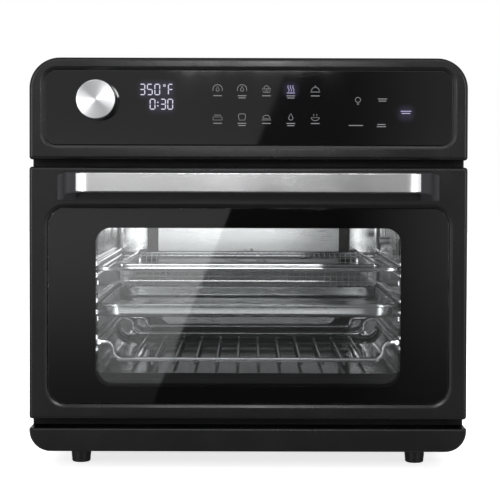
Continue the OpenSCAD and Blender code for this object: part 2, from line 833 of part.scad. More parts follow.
module convection_fan() {
    color("#b9bcbf") at_front() difference() {
        union() {
            rod_y(0, fan_z, fan_d - 8, 16, 8);
            rod_y(0, fan_z, fan_d + 5, 1, 56);
            for (i = [0:11]) rotate_in_place(i * 30)
                block([20, fan_d - 9, fan_z - 0.6], [55, fan_d + 5.5, fan_z + 0.6]);
        }
        rod_y(0, fan_z, fan_d - 20, 40, pin_r + 0.02);
    }
}

module motor_shaft() {
    color("#c4c6c9") at_front() rod_y(0, fan_z, fan_d - 12, 58, pin_r);
}

module cooling_blade() {
    color("#3d4043") at_front() difference() {
        union() {
            rod_y(0, fan_z, 379, 7, 7);
            for (i = [0:5]) rotate_in_place(i * 60)
                block([5, 380, fan_z - 6], [32, 381.5, fan_z + 6]);
        }
        rod_y(0, fan_z, 370, 30, pin_r + 0.02);
    }
}

outer_wrap();
rear_panel();
base_pan();
feet();
rear_spacers();
case_screws();
cord_gland();
front_frame();
door_gasket();
service_shelf();
control_bezel();
control_glass();
touch_board();
display_module();
encoder();
power_board();
cavity_liner();
rack_guide_left();
rack_guide_right();
fan_chamber();
fan_cover();
cover_screws();
top_heater();
bottom_heater();
ring_heater();
fan_motor();
oven_lamp();
lamp_lens();
temperature_probe();
steam_generator();
water_hose();
water_pump();
tank_dock();
hinge_bracket_left();
hinge_bracket_right();
hinge_pins();
door_springs();
door_frame();
door_outer_glass();
door_inner_glass();
door_inner_panel();
handle_core();
handle_trim();
door_screws();
hinge_arm_left();
hinge_arm_right();
wire_rack();
baking_tray();
basket_frame();
basket_mesh();
knob();
knob_cap();
encoder_shaft();
convection_fan();
motor_shaft();
cooling_blade();
drip_tray();
water_tank();
tank_lid();
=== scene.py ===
"""Looks of the countertop toaster oven: every visible piece rebuilt or refinished around its CAD.

Lengths are millimetres until point() turns them into Blender's metres. Depths count backwards
from the door's front face, as in the part's source.
"""

import math

import bmesh
import bpy
from mathutils import Euler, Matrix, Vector


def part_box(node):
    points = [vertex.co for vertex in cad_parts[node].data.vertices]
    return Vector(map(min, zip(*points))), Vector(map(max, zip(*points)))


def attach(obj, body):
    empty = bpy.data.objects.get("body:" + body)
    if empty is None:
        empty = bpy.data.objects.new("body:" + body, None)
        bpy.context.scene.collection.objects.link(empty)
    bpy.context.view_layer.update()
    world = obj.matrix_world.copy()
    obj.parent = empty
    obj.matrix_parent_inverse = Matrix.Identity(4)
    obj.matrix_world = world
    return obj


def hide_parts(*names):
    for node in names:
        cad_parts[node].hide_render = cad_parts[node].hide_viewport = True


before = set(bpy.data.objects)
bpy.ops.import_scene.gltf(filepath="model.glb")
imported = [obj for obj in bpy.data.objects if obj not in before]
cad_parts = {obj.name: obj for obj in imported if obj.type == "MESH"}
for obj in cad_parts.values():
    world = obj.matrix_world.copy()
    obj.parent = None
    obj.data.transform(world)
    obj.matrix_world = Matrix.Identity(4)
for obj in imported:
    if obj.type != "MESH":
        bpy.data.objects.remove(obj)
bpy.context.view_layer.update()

MM = 0.001
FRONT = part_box("door_frame")[0][1]


# ---------- where things are, read from the frame ----------

def span_box(node):
    """A CAD node's box as x0, x1, nearest depth, furthest depth, z0, z1, in mm."""
    lo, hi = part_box(node)
    return (lo[0] / MM, hi[0] / MM, (lo[1] - FRONT) / MM, (hi[1] - FRONT) / MM, lo[2] / MM, hi[2] / MM)


def span(node):
    """The same box as half width, nearest depth, furthest depth, lowest and highest."""
    lo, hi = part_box(node)
    return ((hi[0] - lo[0]) / 2 / MM, *span_box(node)[2:])


HALF_W, _, BEZEL_D, PANEL_Z0, BODY_H = span("control_bezel")
DOOR_Z0, DOOR_Z1 = span("door_frame")[3:]
BASE_TOP = span("drip_tray")[4]
FOOT_H = span("feet")[4]
DRIP_D = span("drip_tray")[2]
BODY_D = span("rear_panel")[2]
LINER_SHEET = 0.8
LINER_X, _, LINER_BACK, LINER_Z0, LINER_Z1 = span("cavity_liner")
CAVITY_X, CAVITY_BACK = LINER_X - LINER_SHEET, LINER_BACK - LINER_SHEET
CAVITY_Z0, CAVITY_Z1 = LINER_Z0 + LINER_SHEET, LINER_Z1 - LINER_SHEET
GLASS_X, _, _, GLASS_Z0, GLASS_Z1 = span("door_outer_glass")
PANEL_GLASS_X, _, _, PANEL_GLASS_Z0, PANEL_GLASS_Z1 = span("control_glass")
WINDOW_X, WINDOW_Z0, WINDOW_Z1 = 150, DOOR_Z0 + 32, DOOR_Z0 + 188
KNOB_LO, KNOB_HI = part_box("knob_cap")
KNOB_X = (KNOB_LO[0] + KNOB_HI[0]) / 2 / MM
KNOB_Z = (KNOB_LO[2] + KNOB_HI[2]) / 2 / MM
KNOB_R = span("knob")[0]
KNOB_FRONT = span("knob_cap")[1]
HANDLE_FRONT = span("handle_trim")[1]
HANDLE_Z = (span("handle_trim")[3] + span("handle_trim")[4]) / 2
# The shelf guides' heights, the fan's axis, and half the width of the opening behind its cover
LEVELS = [CAVITY_Z0 + 27 + i * 37.25 for i in range(3)]
FAN_Z = CAVITY_Z0 + 87
FAN_PORT_X = span("fan_cover")[0] + 14
# The display's left edge, and the first column of touch marks with the pitch of the rest
DISPLAY_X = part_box("display_module")[0][0] / MM
ICON_X, ICON_PITCH = -30.4, 23.9
# Screw columns of the door and the case, and the pair under the handle's legs
SCREW_X, HANDLE_SCREW_X = HALF_W - 10, 173.5


def point(x, depth, z):
    """A place on the oven as a Blender vector in metres."""
    return Vector((x * MM, FRONT + depth * MM, z * MM))


# ---------- nodes and materials ----------

def linear(hex_colour, alpha=1.0):
    """sRGB hex to the linear colour that shaders take."""
    out = []
    for i in (1, 3, 5):
        c = int(hex_colour[i : i + 2], 16) / 255
        out.append(c / 12.92 if c <= 0.04045 else ((c + 0.055) / 1.055) ** 2.4)
    return (*out, alpha)


def add(tree, kind, links=None, **settings):
    """Adds one node: links maps its inputs to a value or to another node's output."""
    node = tree.nodes.new(kind)
    for key, value in settings.items():
        setattr(node, key, value)
    for key, value in (links or {}).items():
        if isinstance(value, bpy.types.NodeSocket):
            tree.links.new(value, node.inputs[key])
        else:
            node.inputs[key].default_value = value
    return node


def new_material(name, **sockets):
    """A material with one Principled shader, its constants straight on the sockets."""
    made = bpy.data.materials.new(name)
    made.use_nodes = True
    tree = made.node_tree
    tree.nodes.clear()
    shader = add(tree, "ShaderNodeBsdfPrincipled")
    for key, value in sockets.items():
        shader.inputs[key.replace("_", " ")].default_value = value
    output = add(tree, "ShaderNodeOutputMaterial")
    tree.links.new(shader.outputs["BSDF"], output.inputs["Surface"])
    return made, tree, shader


def grain(tree, size_mm, detail=2.0, stretch=(1, 1, 1), roughness=0.5):
    """Noise on Object coordinates whose features are about size_mm across."""
    coords = add(tree, "ShaderNodeTexCoord")
    mapping = add(tree, "ShaderNodeMapping", {"Vector": coords.outputs["Object"], "Scale": stretch})
    links = {"Vector": mapping.outputs["Vector"], "Scale": 1 / (size_mm * MM)}
    return add(tree, "ShaderNodeTexNoise", {**links, "Detail": detail, "Roughness": roughness})


def surface(tree, shader, colour=None, gloss=None, relief=()):
    """Patterns on a shader: colour and gloss as (pattern, from, to), relief as (pattern, mm) pairs."""
    if colour:
        pattern, dark, light = colour
        colours = {"Factor": pattern, 6: linear(dark), 7: linear(light)}
        mix = add(tree, "ShaderNodeMix", colours, data_type="RGBA")
        tree.links.new(mix.outputs[2], shader.inputs["Base Color"])
    if gloss:
        pattern, low, high = gloss
        spread = {"Value": pattern, "From Min": 0.35, "From Max": 0.65, "To Min": low, "To Max": high}
        ramp = add(tree, "ShaderNodeMapRange", spread)
        tree.links.new(ramp.outputs["Result"], shader.inputs["Roughness"])
    normal = None
    for pattern, depth_mm in relief:
        links = {"Height": pattern, "Distance": depth_mm * MM, "Strength": 1.0}
        if normal is not None:
            links["Normal"] = normal
        normal = add(tree, "ShaderNodeBump", links).outputs["Normal"]
        tree.links.new(normal, shader.inputs["Normal"])


def plastic(name, dark, light, rough_lo, rough_hi, grain_mm, relief_mm, shine=0.5):
    """Moulded plastic: spark-eroded grain, drawn a little coarse, and slow gloss changes."""
    made, tree, shader = new_material(name, IOR=1.5, Specular_IOR_Level=shine)
    fine = grain(tree, grain_mm, detail=3).outputs["Fac"]
    slow = grain(tree, 45).outputs["Fac"]
    surface(tree, shader, (fine, dark, light), (slow, rough_lo, rough_hi), [(fine, relief_mm)])
    return made


def sheet_metal(name, dark, light, rough_lo, rough_hi, grain_mm, stretch, relief_mm, handling=70):
    """Rolled or brushed sheet: streaks along the rolling direction and slow smears of polish."""
    made, tree, shader = new_material(name, Metallic=1.0)
    streaks = grain(tree, grain_mm, detail=4, stretch=stretch, roughness=0.65).outputs["Fac"]
    smears = grain(tree, handling, detail=3).outputs["Fac"]
    both = add(tree, "ShaderNodeMath", {0: streaks, 1: smears}, operation="ADD")
    half = add(tree, "ShaderNodeMath", {0: both.outputs[0], 1: 0.5}, operation="MULTIPLY")
    gloss = (half.outputs[0], rough_lo, rough_hi)
    surface(tree, shader, (streaks, dark, light), gloss, [(streaks, relief_mm)])
    return made


def make_powder_coat():
    """Black polyester powder coat on steel: satin, with orange peel about 1.5 mm across."""
    made, tree, shader = new_material("powder_coat_black", IOR=1.5, Specular_IOR_Level=0.4)
    peel = grain(tree, 1.5, detail=1).outputs["Fac"]
    flecks = grain(tree, 0.35).outputs["Fac"]
    slow = grain(tree, 60).outputs["Fac"]
    relief = [(peel, 0.02), (flecks, 0.006)]
    surface(tree, shader, (flecks, "#101011", "#18181a"), (slow, 0.4, 0.43), relief)
    return made


def lit_glass(name, boxes, reach, strength):
    """Float glass with black enamel fired on its back: a hard mirror with faint wiping marks.

    Light strays through the enamel round each box of centre x, centre z, half width and half
    height in mm, and is gone a reach outside it."""
    made, tree, shader = new_material(name, IOR=1.52)
    wipes = grain(tree, 40, detail=4, stretch=(1, 1, 0.35)).outputs["Fac"]
    dust = grain(tree, 0.6, detail=1).outputs["Fac"]
    surface(tree, shader, (dust, "#060607", "#09090a"), (wipes, 0.015, 0.05))
    shader.inputs["Emission Color"].default_value = linear("#5a5672")
    coords = add(tree, "ShaderNodeTexCoord")
    glow = 0.0
    for x, z, half_x, half_z in boxes:
        steps = (("SUBTRACT", point(x, 0, z)), ("ABSOLUTE", (0, 0, 0)))
        steps += (("SUBTRACT", (half_x * MM, 1.0, half_z * MM)), ("MAXIMUM", (0, 0, 0)))
        place = coords.outputs["Object"]
        for operation, value in steps:
            links = {0: place, 1: tuple(value)}
            place = add(tree, "ShaderNodeVectorMath", links, operation=operation).outputs[0]
        far = add(tree, "ShaderNodeVectorMath", {0: place}, operation="LENGTH")
        spread = {"Value": far.outputs["Value"], "From Max": reach * MM, "To Min": strength, "To Max": 0}
        fade = add(tree, "ShaderNodeMapRange", spread, interpolation_type="SMOOTHERSTEP")
        both = {0: glow, 1: fade.outputs[0]}
        glow = add(tree, "ShaderNodeMath", both, operation="MAXIMUM").outputs[0]
    tree.links.new(glow, shader.inputs["Emission Strength"])
    return made


def clear_glass(name, dark, light, **sockets):
    """See-through glass or plastic whose tint drifts slowly across it."""
    made, tree, shader = new_material(name, **sockets)
    slow = grain(tree, 40).outputs["Fac"]
    surface(tree, shader, (slow, dark, light))
    return made


def make_spun_aluminium():
    """Aluminium faced on a lathe: rings 0.5 mm apart, drawn coarse enough to catch the light."""
    sockets = {"Metallic": 1.0, "Anisotropic": 0.93, "Anisotropic_Rotation": 0.25, "Roughness": 0.3}
    made, tree, shader = new_material("spun_aluminium", **sockets)
    coords = add(tree, "ShaderNodeTexCoord")
    centre = {"Vector": coords.outputs["Object"], "Location": -point(KNOB_X, 0, KNOB_Z)}
    centred = add(tree, "ShaderNodeMapping", centre)
    flatten = {0: centred.outputs["Vector"], 1: (1, 0, 1)}
    flat = add(tree, "ShaderNodeVectorMath", flatten, operation="MULTIPLY")
    radius = add(tree, "ShaderNodeVectorMath", {0: flat.outputs[0]}, operation="LENGTH")
    turns = {0: radius.outputs["Value"], 1: 2 * math.pi / (0.5 * MM)}
    turned = add(tree, "ShaderNodeMath", turns, operation="MULTIPLY")
    ring = add(tree, "ShaderNodeMath", {0: turned.outputs[0]}, operation="SINE")
    spread = {"Value": ring.outputs[0], "From Min": -1.0, "From Max": 1.0}
    level = add(tree, "ShaderNodeMapRange", spread).outputs["Result"]
    surface(tree, shader, (level, "#d3d4d6", "#e4e5e7"), None, [(level, 0.002)])
    tangent = add(tree, "ShaderNodeTangent", direction_type="RADIAL", axis="Y")
    tree.links.new(tangent.outputs["Tangent"], shader.inputs["Tangent"])
    return made


def make_glow(name, hex_colour, strength):
    """Light-emitting print behind the panel glass, a little uneven as an edge-lit mask is."""
    made, tree, shader = new_material(name, Roughness=0.6, Emission_Strength=strength)
    uneven = grain(tree, 2.2).outputs["Fac"]
    surface(tree, shader, (uneven, "#0b0a0e", "#0e0d12"))
    bright = linear(hex_colour)
    colours = {"Factor": uneven, 6: bright, 7: tuple(0.82 * c for c in bright[:3]) + (1,)}
    mix = add(tree, "ShaderNodeMix", colours, data_type="RGBA")
    tree.links.new(mix.outputs[2], shader.inputs["Emission Color"])
    return made


DIGIT_BOXES = [(DISPLAY_X + 38, KNOB_Z + 10.7, 12, 3), (DISPLAY_X + 42.6, KNOB_Z - 3.6, 8, 2.5)]
LIT_BOXES = [(ICON_X + 3 * ICON_PITCH, KNOB_Z + 11, 1.5, 1.5), (154, KNOB_Z - 12, 2, 1.5)]

MAT = {
    # Satin black sheet: a broad soft sheen broken by orange peel
    "powder_coat": make_powder_coat(),
    # The bezel, base and door surround: near black, semi-gloss, with crisp edge lights
    "black_abs": plastic("moulded_black_abs", "#0c0c0d", "#131314", 0.22, 0.29, 0.7, 0.01, 0.34),
    # The handle's body, clearly lighter than the door: a lighter copy of the black plastic, painted sheen for
    # the light that its curve reflects
    "painted_sheen_abs": plastic("moulded_abs_painted_sheen", "#242427", "#2d2d30", 0.34, 0.42, 0.6, 0.012),
    # Feet and spacers: duller and grainier than the bezel
    "black_pp": plastic("black_polypropylene", "#09090a", "#0f0f10", 0.45, 0.55, 0.8, 0.02, 0.3),
    # The steel behind the door, which stays dark in the gaps
    "stove_paint": plastic("matt_black_stove_paint", "#080808", "#0e0e0e", 0.55, 0.7, 0.6, 0.02, 0.2),
    # A mirror over black, with violet light straying round the digits and the chosen marks
    "panel_glass": lit_glass("printed_panel_glass", DIGIT_BOXES + LIT_BOXES, 10, 0.2),
    # Clear, with one clean reflection
    "window_glass": clear_glass(
        "tempered_window_glass", "#f3f4f4", "#f8f9f9", IOR=1.5, Transmission_Weight=1.0, Roughness=0.0
    ),
    # The inner pane's tin oxide coat mirrors more, which veils the cavity at the left
    "coated_glass": clear_glass(
        "heat_reflecting_glass", "#f3f4f4", "#f8f9f9", IOR=2.0, Transmission_Weight=1.0, Roughness=0.0
    ),
    # Ink round the window: dead flat black behind the glass
    "enamel": plastic("fired_black_enamel", "#040404", "#060606", 0.65, 0.75, 6, 0.001, 0.02),
    # The door seal: the dullest black
    "silicone": plastic("matte_black_silicone", "#0c0c0d", "#131314", 0.6, 0.72, 0.5, 0.02, 0.3),
    # Warm, milky hose
    "clear_hose": plastic("milky_silicone_hose", "#cfc9bd", "#e2ddd2", 0.4, 0.5, 1.0, 0.01),
    # Unpainted mouldings inside the casing
    "white_pp": plastic("white_polypropylene", "#cfcfcb", "#dededa", 0.35, 0.45, 0.8, 0.015),
    # The lamp's chalky socket
    "ceramic": plastic("unglazed_steatite", "#cbc6ba", "#ded9cd", 0.6, 0.75, 0.4, 0.03),
    # Cavity walls: blurred mirrors, streaked from front to back
    "cavity": sheet_metal(
        "bright_rolled_stainless", "#b4b5b6", "#cbcccc", 0.06, 0.15, 0.5, (1, 0.03, 1), 0.002
    ),
    # The fan's cover: paler and softer than the walls, streaked across
    "cover": sheet_metal(
        "satin_stainless_cover", "#cdcecf", "#e2e3e4", 0.24, 0.36, 0.45, (0.04, 1, 1), 0.003
    ),
    # Baking tray: a dull silver with fine drawing lines
    "tray": sheet_metal("pressed_tray_steel", "#b2b4b6", "#cfd1d2", 0.2, 0.34, 0.5, (0.04, 1, 1), 0.003),
    # The handle's bright face, brushed along its length
    "handle": sheet_metal(
        "brushed_handle_steel", "#d2d2d3", "#e6e6e7", 0.16, 0.24, 0.3, (0.012, 1, 1), 0.026
    ),
    # Rack and basket wires: sharp glints
    "chrome": sheet_metal("bright_plated_wire", "#d4d6d8", "#e9eaeb", 0.08, 0.18, 3.0, (1, 1, 1), 0.004, 25),
    # Brackets, hinges and screws: grey and faintly mottled
    "zinc": sheet_metal("zinc_plated_steel", "#9fa3a8", "#c0c3c6", 0.3, 0.45, 4.0, (1, 1, 1), 0.004, 30),
    # Heating rods and the fan's chamber: dark, brownish, almost without shine
    "sheath": sheet_metal("oxidised_heater_sheath", "#4a4846", "#6b6966", 0.4, 0.6, 2.0, (1, 1, 1), 0.01, 15),
    # The motors' stacked plates show as fine ribs
    "lamination": sheet_metal(
        "stacked_motor_steel", "#6c6e70", "#8f9193", 0.35, 0.5, 0.5, (0.05, 1, 0.05), 0.05
    ),
    # The knob's turned side
    "knob_side": sheet_metal(
        "polished_aluminium_edge", "#b9bbbd", "#d8dadb", 0.1, 0.2, 0.3, (1, 0.05, 1), 0.002, 12
    ),
    # The knob's face, whose rings fan the light into wedges
    "knob_face": make_spun_aluminium(),
    # Circuit boards
    "solder_mask": plastic("green_solder_mask", "#0d3d1f", "#15552c", 0.3, 0.4, 1.2, 0.02),
    # Cold white segments
    "digits": make_glow("white_display_segments", "#e6e3f6", 1.0),
    # Marks that are chosen
    "lit_icon": make_glow("lit_violet_mark", "#c9c3ee", 0.8),
    # Marks that are idle
    "icon": make_glow("printed_grey_mark", "#9a9a9c", 0.75),
    # The water tank: grey-blue smoke with a gloss
    "tank": clear_glass(
        "smoked_tank_plastic", "#8ea3ae", "#a8bac3", IOR=1.56, Transmission_Weight=0.85, Roughness=0.06
    ),
}


# ---------- mesh making ----------

def linked(name, data):
    """A new object in the scene."""
    made = bpy.data.objects.new(name, data)
    bpy.context.collection.objects.link(made)
    return made


def baked(made):
    """The plain mesh that an object's modifiers make."""
    graph = bpy.context.evaluated_depsgraph_get()
    return bpy.data.meshes.new_from_object(made.evaluated_get(graph))


def finish_piece(name, shape, finish, body, replaces=(), smooth=38):
    """Gives a mesh, or a list of (points, faces) parts, its shading, its material and its place."""
    mesh = merged(mesh_from(name, shape) if isinstance(shape, list) else shape)
    mesh.materials.clear()
    mesh.materials.append(MAT[finish])
    mesh.shade_smooth()
    mesh.set_sharp_from_angle(angle=math.radians(smooth))
    piece = linked(name, mesh)
    weighted = piece.modifiers.new("level", "WEIGHTED_NORMAL")
    weighted.keep_sharp = True
    level = baked(piece)
    piece.modifiers.clear()
    piece.data = level
    level.name = name
    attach(piece, body)
    if replaces:
        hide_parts(*replaces)


def mesh_from(name, parts):
    """One mesh from several (points, faces) lists."""
    verts, faces = [], []
    for part_verts, part_faces in parts:
        base = len(verts)
        verts += part_verts
        faces += [[base + i for i in face] for face in part_faces]
    mesh = bpy.data.meshes.new(name)
    mesh.from_pydata([tuple(v) for v in verts], [], faces)
    return mesh


def outline(half, low, high, low_r, high_r=None, steps=14, inset=0.0, middle=0.0):
    """Rounded rectangle as pairs, anticlockwise from its lower right corner, drawn inset."""
    high_r = low_r if high_r is None else high_r
    spots = []
    corners = ((1, -1, low_r, -90), (1, 1, high_r, 0), (-1, 1, high_r, 90), (-1, -1, low_r, 180))
    for sx, sz, r, start in corners:
        cx = sx * (half - max(r, inset))
        cz = low + max(r, inset) if sz < 0 else high - max(r, inset)
        left = max(r - inset, 0.0)
        for i in range(steps + 1):
            a = math.radians(start + 90 * i / steps)
            spots.append((middle + cx + left * math.cos(a), cz + left * math.sin(a)))
    return spots


def rounding(edge, steps=5):
    """A quarter round as (inset, setback) pairs, from the front face to the side."""
    turns = [math.radians(90 * i / steps) for i in range(steps + 1)]
    return [(edge * (1 - math.sin(a)), edge * (1 - math.cos(a))) for a in turns]


def rings_of(shape, steps, middle=0.0):
    """One outline drawn at each (inset, depth) step."""
    return [(outline(*shape, inset=inset, middle=middle), depth) for inset, depth in steps]


def skin(rings, closed=False):
    """Skins rings of equally many points; closed joins last to first, else the ends are capped."""
    count = len(rings[0])
    verts = [v for ring in rings for v in ring]
    faces = []
    for r in range(len(rings) if closed else len(rings) - 1):
        a, b = r * count, ((r + 1) % len(rings)) * count
        for i in range(count):
            j = (i + 1) % count
            faces.append([a + i, a + j, b + j, b + i])
    if not closed:
        faces.append(list(range(count)))
        faces.append([(len(rings) - 1) * count + i for i in range(count)])
    return verts, faces


def loft(rings, closed=False):
    """Skins upright outlines, each ring given as (x, z pairs, depth)."""
    return skin([[point(x, depth, z) for x, z in pairs] for pairs, depth in rings], closed)


def plan_loft(rings):
    """Skins level outlines, each ring given as (x, depth pairs, height)."""
    return skin([[point(x, depth, z) for x, depth in pairs] for pairs, z in rings])


def plate(half, z0, z1, low_r, high_r, d0, d1, front, back):
    """Upright plate with rounded corners and rounded edges on both faces."""
    steps = [(inset, d0 + setback) for inset, setback in rounding(front)]
    steps += [(inset, d1 - setback) for inset, setback in reversed(rounding(back))]
    return loft(rings_of((half, z0, z1, low_r, high_r), steps))


def lathe(profile, centre, axis="Y", steps=64):
    """Turns (radius, distance) pairs about an axis through centre; closed where the radius is 0."""
    verts, faces = [], []
    for r, along in profile:
        for i in range(steps):
            a = 2 * math.pi * i / steps
            u, v = r * math.cos(a), r * math.sin(a)
            offset = {"X": (along, u, v), "Y": (u, along, v), "Z": (u, v, along)}[axis]
            verts.append(centre + Vector(offset) * MM)
    for k in range(len(profile) - 1):
        for i in range(steps):
            j = (i + 1) % steps
            faces.append([k * steps + i, k * steps + j, (k + 1) * steps + j, (k + 1) * steps + i])
    return verts, faces


def rod(r, near, far, centre, axis="Y", steps=64):
    """Plain round bar between two distances from centre."""
    return lathe([(0, near), (r, near), (r, far), (0, far)], centre, axis, steps)


def box_part(x0, x1, d0, d1, z0, z1):
    """Plain block as (points, faces), to be joined into a larger piece."""
    verts = [point(x, d, z) for x in (x0, x1) for d in (d0, d1) for z in (z0, z1)]
    faces = [[0, 1, 3, 2], [4, 6, 7, 5], [0, 4, 5, 1], [2, 3, 7, 6], [0, 2, 6, 4], [1, 5, 7, 3]]
    return verts, faces


def merged(mesh):
    """The same mesh with its doubles merged and its faces turned outwards."""
    work = bmesh.new()
    work.from_mesh(mesh)
    bmesh.ops.remove_doubles(work, verts=work.verts, dist=1e-6)
    bmesh.ops.recalc_face_normals(work, faces=work.faces)
    if work.calc_volume(signed=True) < 0:
        bmesh.ops.reverse_faces(work, faces=work.faces)
    work.to_mesh(mesh)
    work.free()
    return mesh


def carve(mesh, tools):
    """The mesh with the volume of the tools taken away."""
    base = linked("base", merged(mesh))
    tool = linked("tool", merged(mesh_from("tool", tools)))
    modifier = base.modifiers.new("carve", "BOOLEAN")
    modifier.object = tool
    modifier.operation = "DIFFERENCE"
    modifier.solver = "EXACT"
    result = baked(base)
    for shape in (base, tool):
        bpy.data.objects.remove(shape)
    return result


def bevel_mesh(mesh, width_mm, angle=35):
    """Rounds the mesh's sharp edges."""
    work = bmesh.new()
    work.from_mesh(mesh)
    bmesh.ops.remove_doubles(work, verts=work.verts, dist=1e-6)
    bmesh.ops.recalc_face_normals(work, faces=work.faces)
    limit = math.radians(angle)
    sharp = [e for e in work.edges if e.is_manifold and e.calc_face_angle(0) > limit]
    size = {"offset": width_mm * MM, "segments": 2, "profile": 0.5}
    bmesh.ops.bevel(work, geom=sharp, affect="EDGES", clamp_overlap=True, **size)
    work.to_mesh(mesh)
    work.free()
    return mesh


# ---------- geometry nodes ----------

def new_tree(name, sockets):
    """A geometry node tree that takes and returns geometry, and the node that holds its inputs.

    sockets gives each further input's name, kind and default."""
    tree = bpy.data.node_groups.new(name, "GeometryNodeTree")
    for way in ("INPUT", "OUTPUT"):
        tree.interface.new_socket("Geometry", in_out=way, socket_type="NodeSocketGeometry")
    for label, kind, value in sockets:
        socket = tree.interface.new_socket(label, in_out="INPUT", socket_type="NodeSocket" + kind)
        if value is not None:
            socket.default_value = value
    return tree, add(tree, "NodeGroupInput")


def end_tree(tree, inlet, geometry):
    """Realizes the instances, sets the material and closes the tree."""
    real = add(tree, "GeometryNodeRealizeInstances", {"Geometry": geometry})
    links = {"Geometry": real.outputs[0], "Material": inlet.outputs["Material"]}
    painted = add(tree, "GeometryNodeSetMaterial", links)
    add(tree, "NodeGroupOutput", {"Geometry": painted.outputs[0]})


def run_tree(base, tree, values):
    """Applies a tree to a mesh and returns the plain mesh that it makes."""
    holder = linked("holder", base)
    modifier = holder.modifiers.new("nodes", "NODES")
    modifier.node_group = tree
    for item in tree.interface.items_tree:
        if item.item_type == "SOCKET" and item.in_out == "INPUT" and item.name in values:
            modifier[item.identifier] = values[item.name]
    result = baked(holder)
    bpy.data.objects.remove(holder)
    return result


def build_wire_tree():
    """Edges to bent wire: fillets the corners, then sweeps a round section along them."""
    sockets = (("Radius", "Float", 0.002), ("Bend", "Float", 0.004), ("Sides", "Int", 12))
    sockets += (("Bend Steps", "Int", 6), ("Material", "Material", None))
    tree, inlet = new_tree("bent_wire", sockets)
    curve = add(tree, "GeometryNodeMeshToCurve", {"Mesh": inlet.outputs["Geometry"]})
    links = {"Curve": curve.outputs[0], "Radius": inlet.outputs["Bend"], "Limit Radius": True}
    links["Count"] = inlet.outputs["Bend Steps"]
    bent = add(tree, "GeometryNodeFilletCurve", links, mode="POLY")
    links = {"Resolution": inlet.outputs["Sides"], "Radius": inlet.outputs["Radius"]}
    section = add(tree, "GeometryNodeCurvePrimitiveCircle", links)
    links = {"Curve": bent.outputs[0], "Profile Curve": section.outputs[0], "Fill Caps": True}
    swept = add(tree, "GeometryNodeCurveToMesh", links)
    end_tree(tree, inlet, swept.outputs[0])
    return tree


def build_scatter_tree():
    """Copies of a template object on points, such as screws on their holes."""
    sockets = (("Template", "Object", None), ("Turn", "Vector", None), ("Spread", "Float", 1.2))
    sockets += (("Seed", "Int", 7), ("Material", "Material", None))
    tree, inlet = new_tree("repeat_on_points", sockets)
    template = add(tree, "GeometryNodeObjectInfo", {"Object": inlet.outputs["Template"]})
    links = {"Points": inlet.outputs["Geometry"], "Instance": template.outputs["Geometry"]}
    links["Rotation"] = inlet.outputs["Turn"]
    placed = add(tree, "GeometryNodeInstanceOnPoints", links)
    links = {3: inlet.outputs["Spread"], "Seed": inlet.outputs["Seed"]}
    angle = add(tree, "FunctionNodeRandomValue", links, data_type="FLOAT")
    spin = add(tree, "ShaderNodeCombineXYZ", {"Z": angle.outputs[1]})
    links = {"Instances": placed.outputs[0], "Rotation": spin.outputs[0], "Local Space": True}
    turned = add(tree, "GeometryNodeRotateInstances", links)
    end_tree(tree, inlet, turned.outputs[0])
    return tree


WIRE_TREE = build_wire_tree()
SCATTER_TREE = build_scatter_tree()


def edge_mesh(name, lines):
    """Polylines, each a list of vectors, as a mesh of edges. A line that ends where it
    starts is closed."""
    verts, edges = [], []
    for line in lines:
        base = len(verts)
        closed = (line[0] - line[-1]).length < 1e-7
        spots = line[:-1] if closed else line
        verts += [tuple(v) for v in spots]
        edges += [(base + i, base + i + 1) for i in range(len(spots) - 1)]
        if closed:
            edges.append((base + len(spots) - 1, base))
    mesh = bpy.data.meshes.new(name)
    mesh.from_pydata(verts, edges, [])
    return mesh


def wire_mesh(name, lines, radius, bend, finish, sides=12, steps=6):
    """Round wire along polylines; radius and bend in mm."""
    values = {"Radius": radius * MM, "Bend": bend * MM, "Sides": sides, "Bend Steps": steps}
    values["Material"] = MAT[finish]
    return run_tree(edge_mesh(name + "_edges", lines), WIRE_TREE, values)


def join_meshes(name, meshes):
    """Several meshes as one."""
    work = bmesh.new()
    for mesh in meshes:
        work.from_mesh(mesh)
    joined = bpy.data.meshes.new(name)
    work.to_mesh(joined)
    work.free()
    return joined


def scatter(name, places, template, turn, finish, body, replaces, spread=1.2):
    """Screws and the like: one joined piece with a copy of the template at each place."""
    source = linked("template", template)
    dots = bpy.data.meshes.new(name + "_points")
    dots.from_pydata([tuple(p) for p in places], [], [])
    values = {"Template": source, "Turn": turn, "Spread": spread, "Seed": 7, "Material": MAT[finish]}
    mesh = run_tree(dots, SCATTER_TREE, values)
    bpy.data.objects.remove(source)
    finish_piece(name, mesh, finish, body, replaces)


# ---------- casing ----------

# How a surround rolls down to its glass, as (inset, depth), each inset negative outside the glass
GLASS_LIP = ((0, 1.3), (-0.15, 1.0), (-0.5, 0.8), (-2.2, 0.35), (-2.9, 0.1), (-3.6, 0))
# Room round a pane that is let into a surround
GLASS_GAP = 0.4


def make_bezel():
    """Moulded surround of the control panel, with the step that the glass lies in."""
    size = (HALF_W, PANEL_Z0, BODY_H, 3, 30)
    glass_z = (PANEL_GLASS_Z0 - GLASS_GAP, PANEL_GLASS_Z1 + GLASS_GAP)
    glass = (PANEL_GLASS_X + GLASS_GAP, *glass_z, 12 + GLASS_GAP)
    opening = (HALF_W - 23, PANEL_Z0 + 21, PANEL_Z0 + 81, 8)
    step, web = 3.2, 6
    rings = rings_of(opening, ((0, web), (0, step))) + rings_of(glass, ((0, step), *GLASS_LIP))
    rings += rings_of(size, rounding(3.6, 8))
    rings += rings_of(size, ((0, BEZEL_D - 0.6), (0.6, BEZEL_D), (3, BEZEL_D), (3, web)))
    bezel = [loft(rings, closed=True)]
    finish_piece("control_panel_bezel", bezel, "black_abs", "casing", ["control_bezel"])


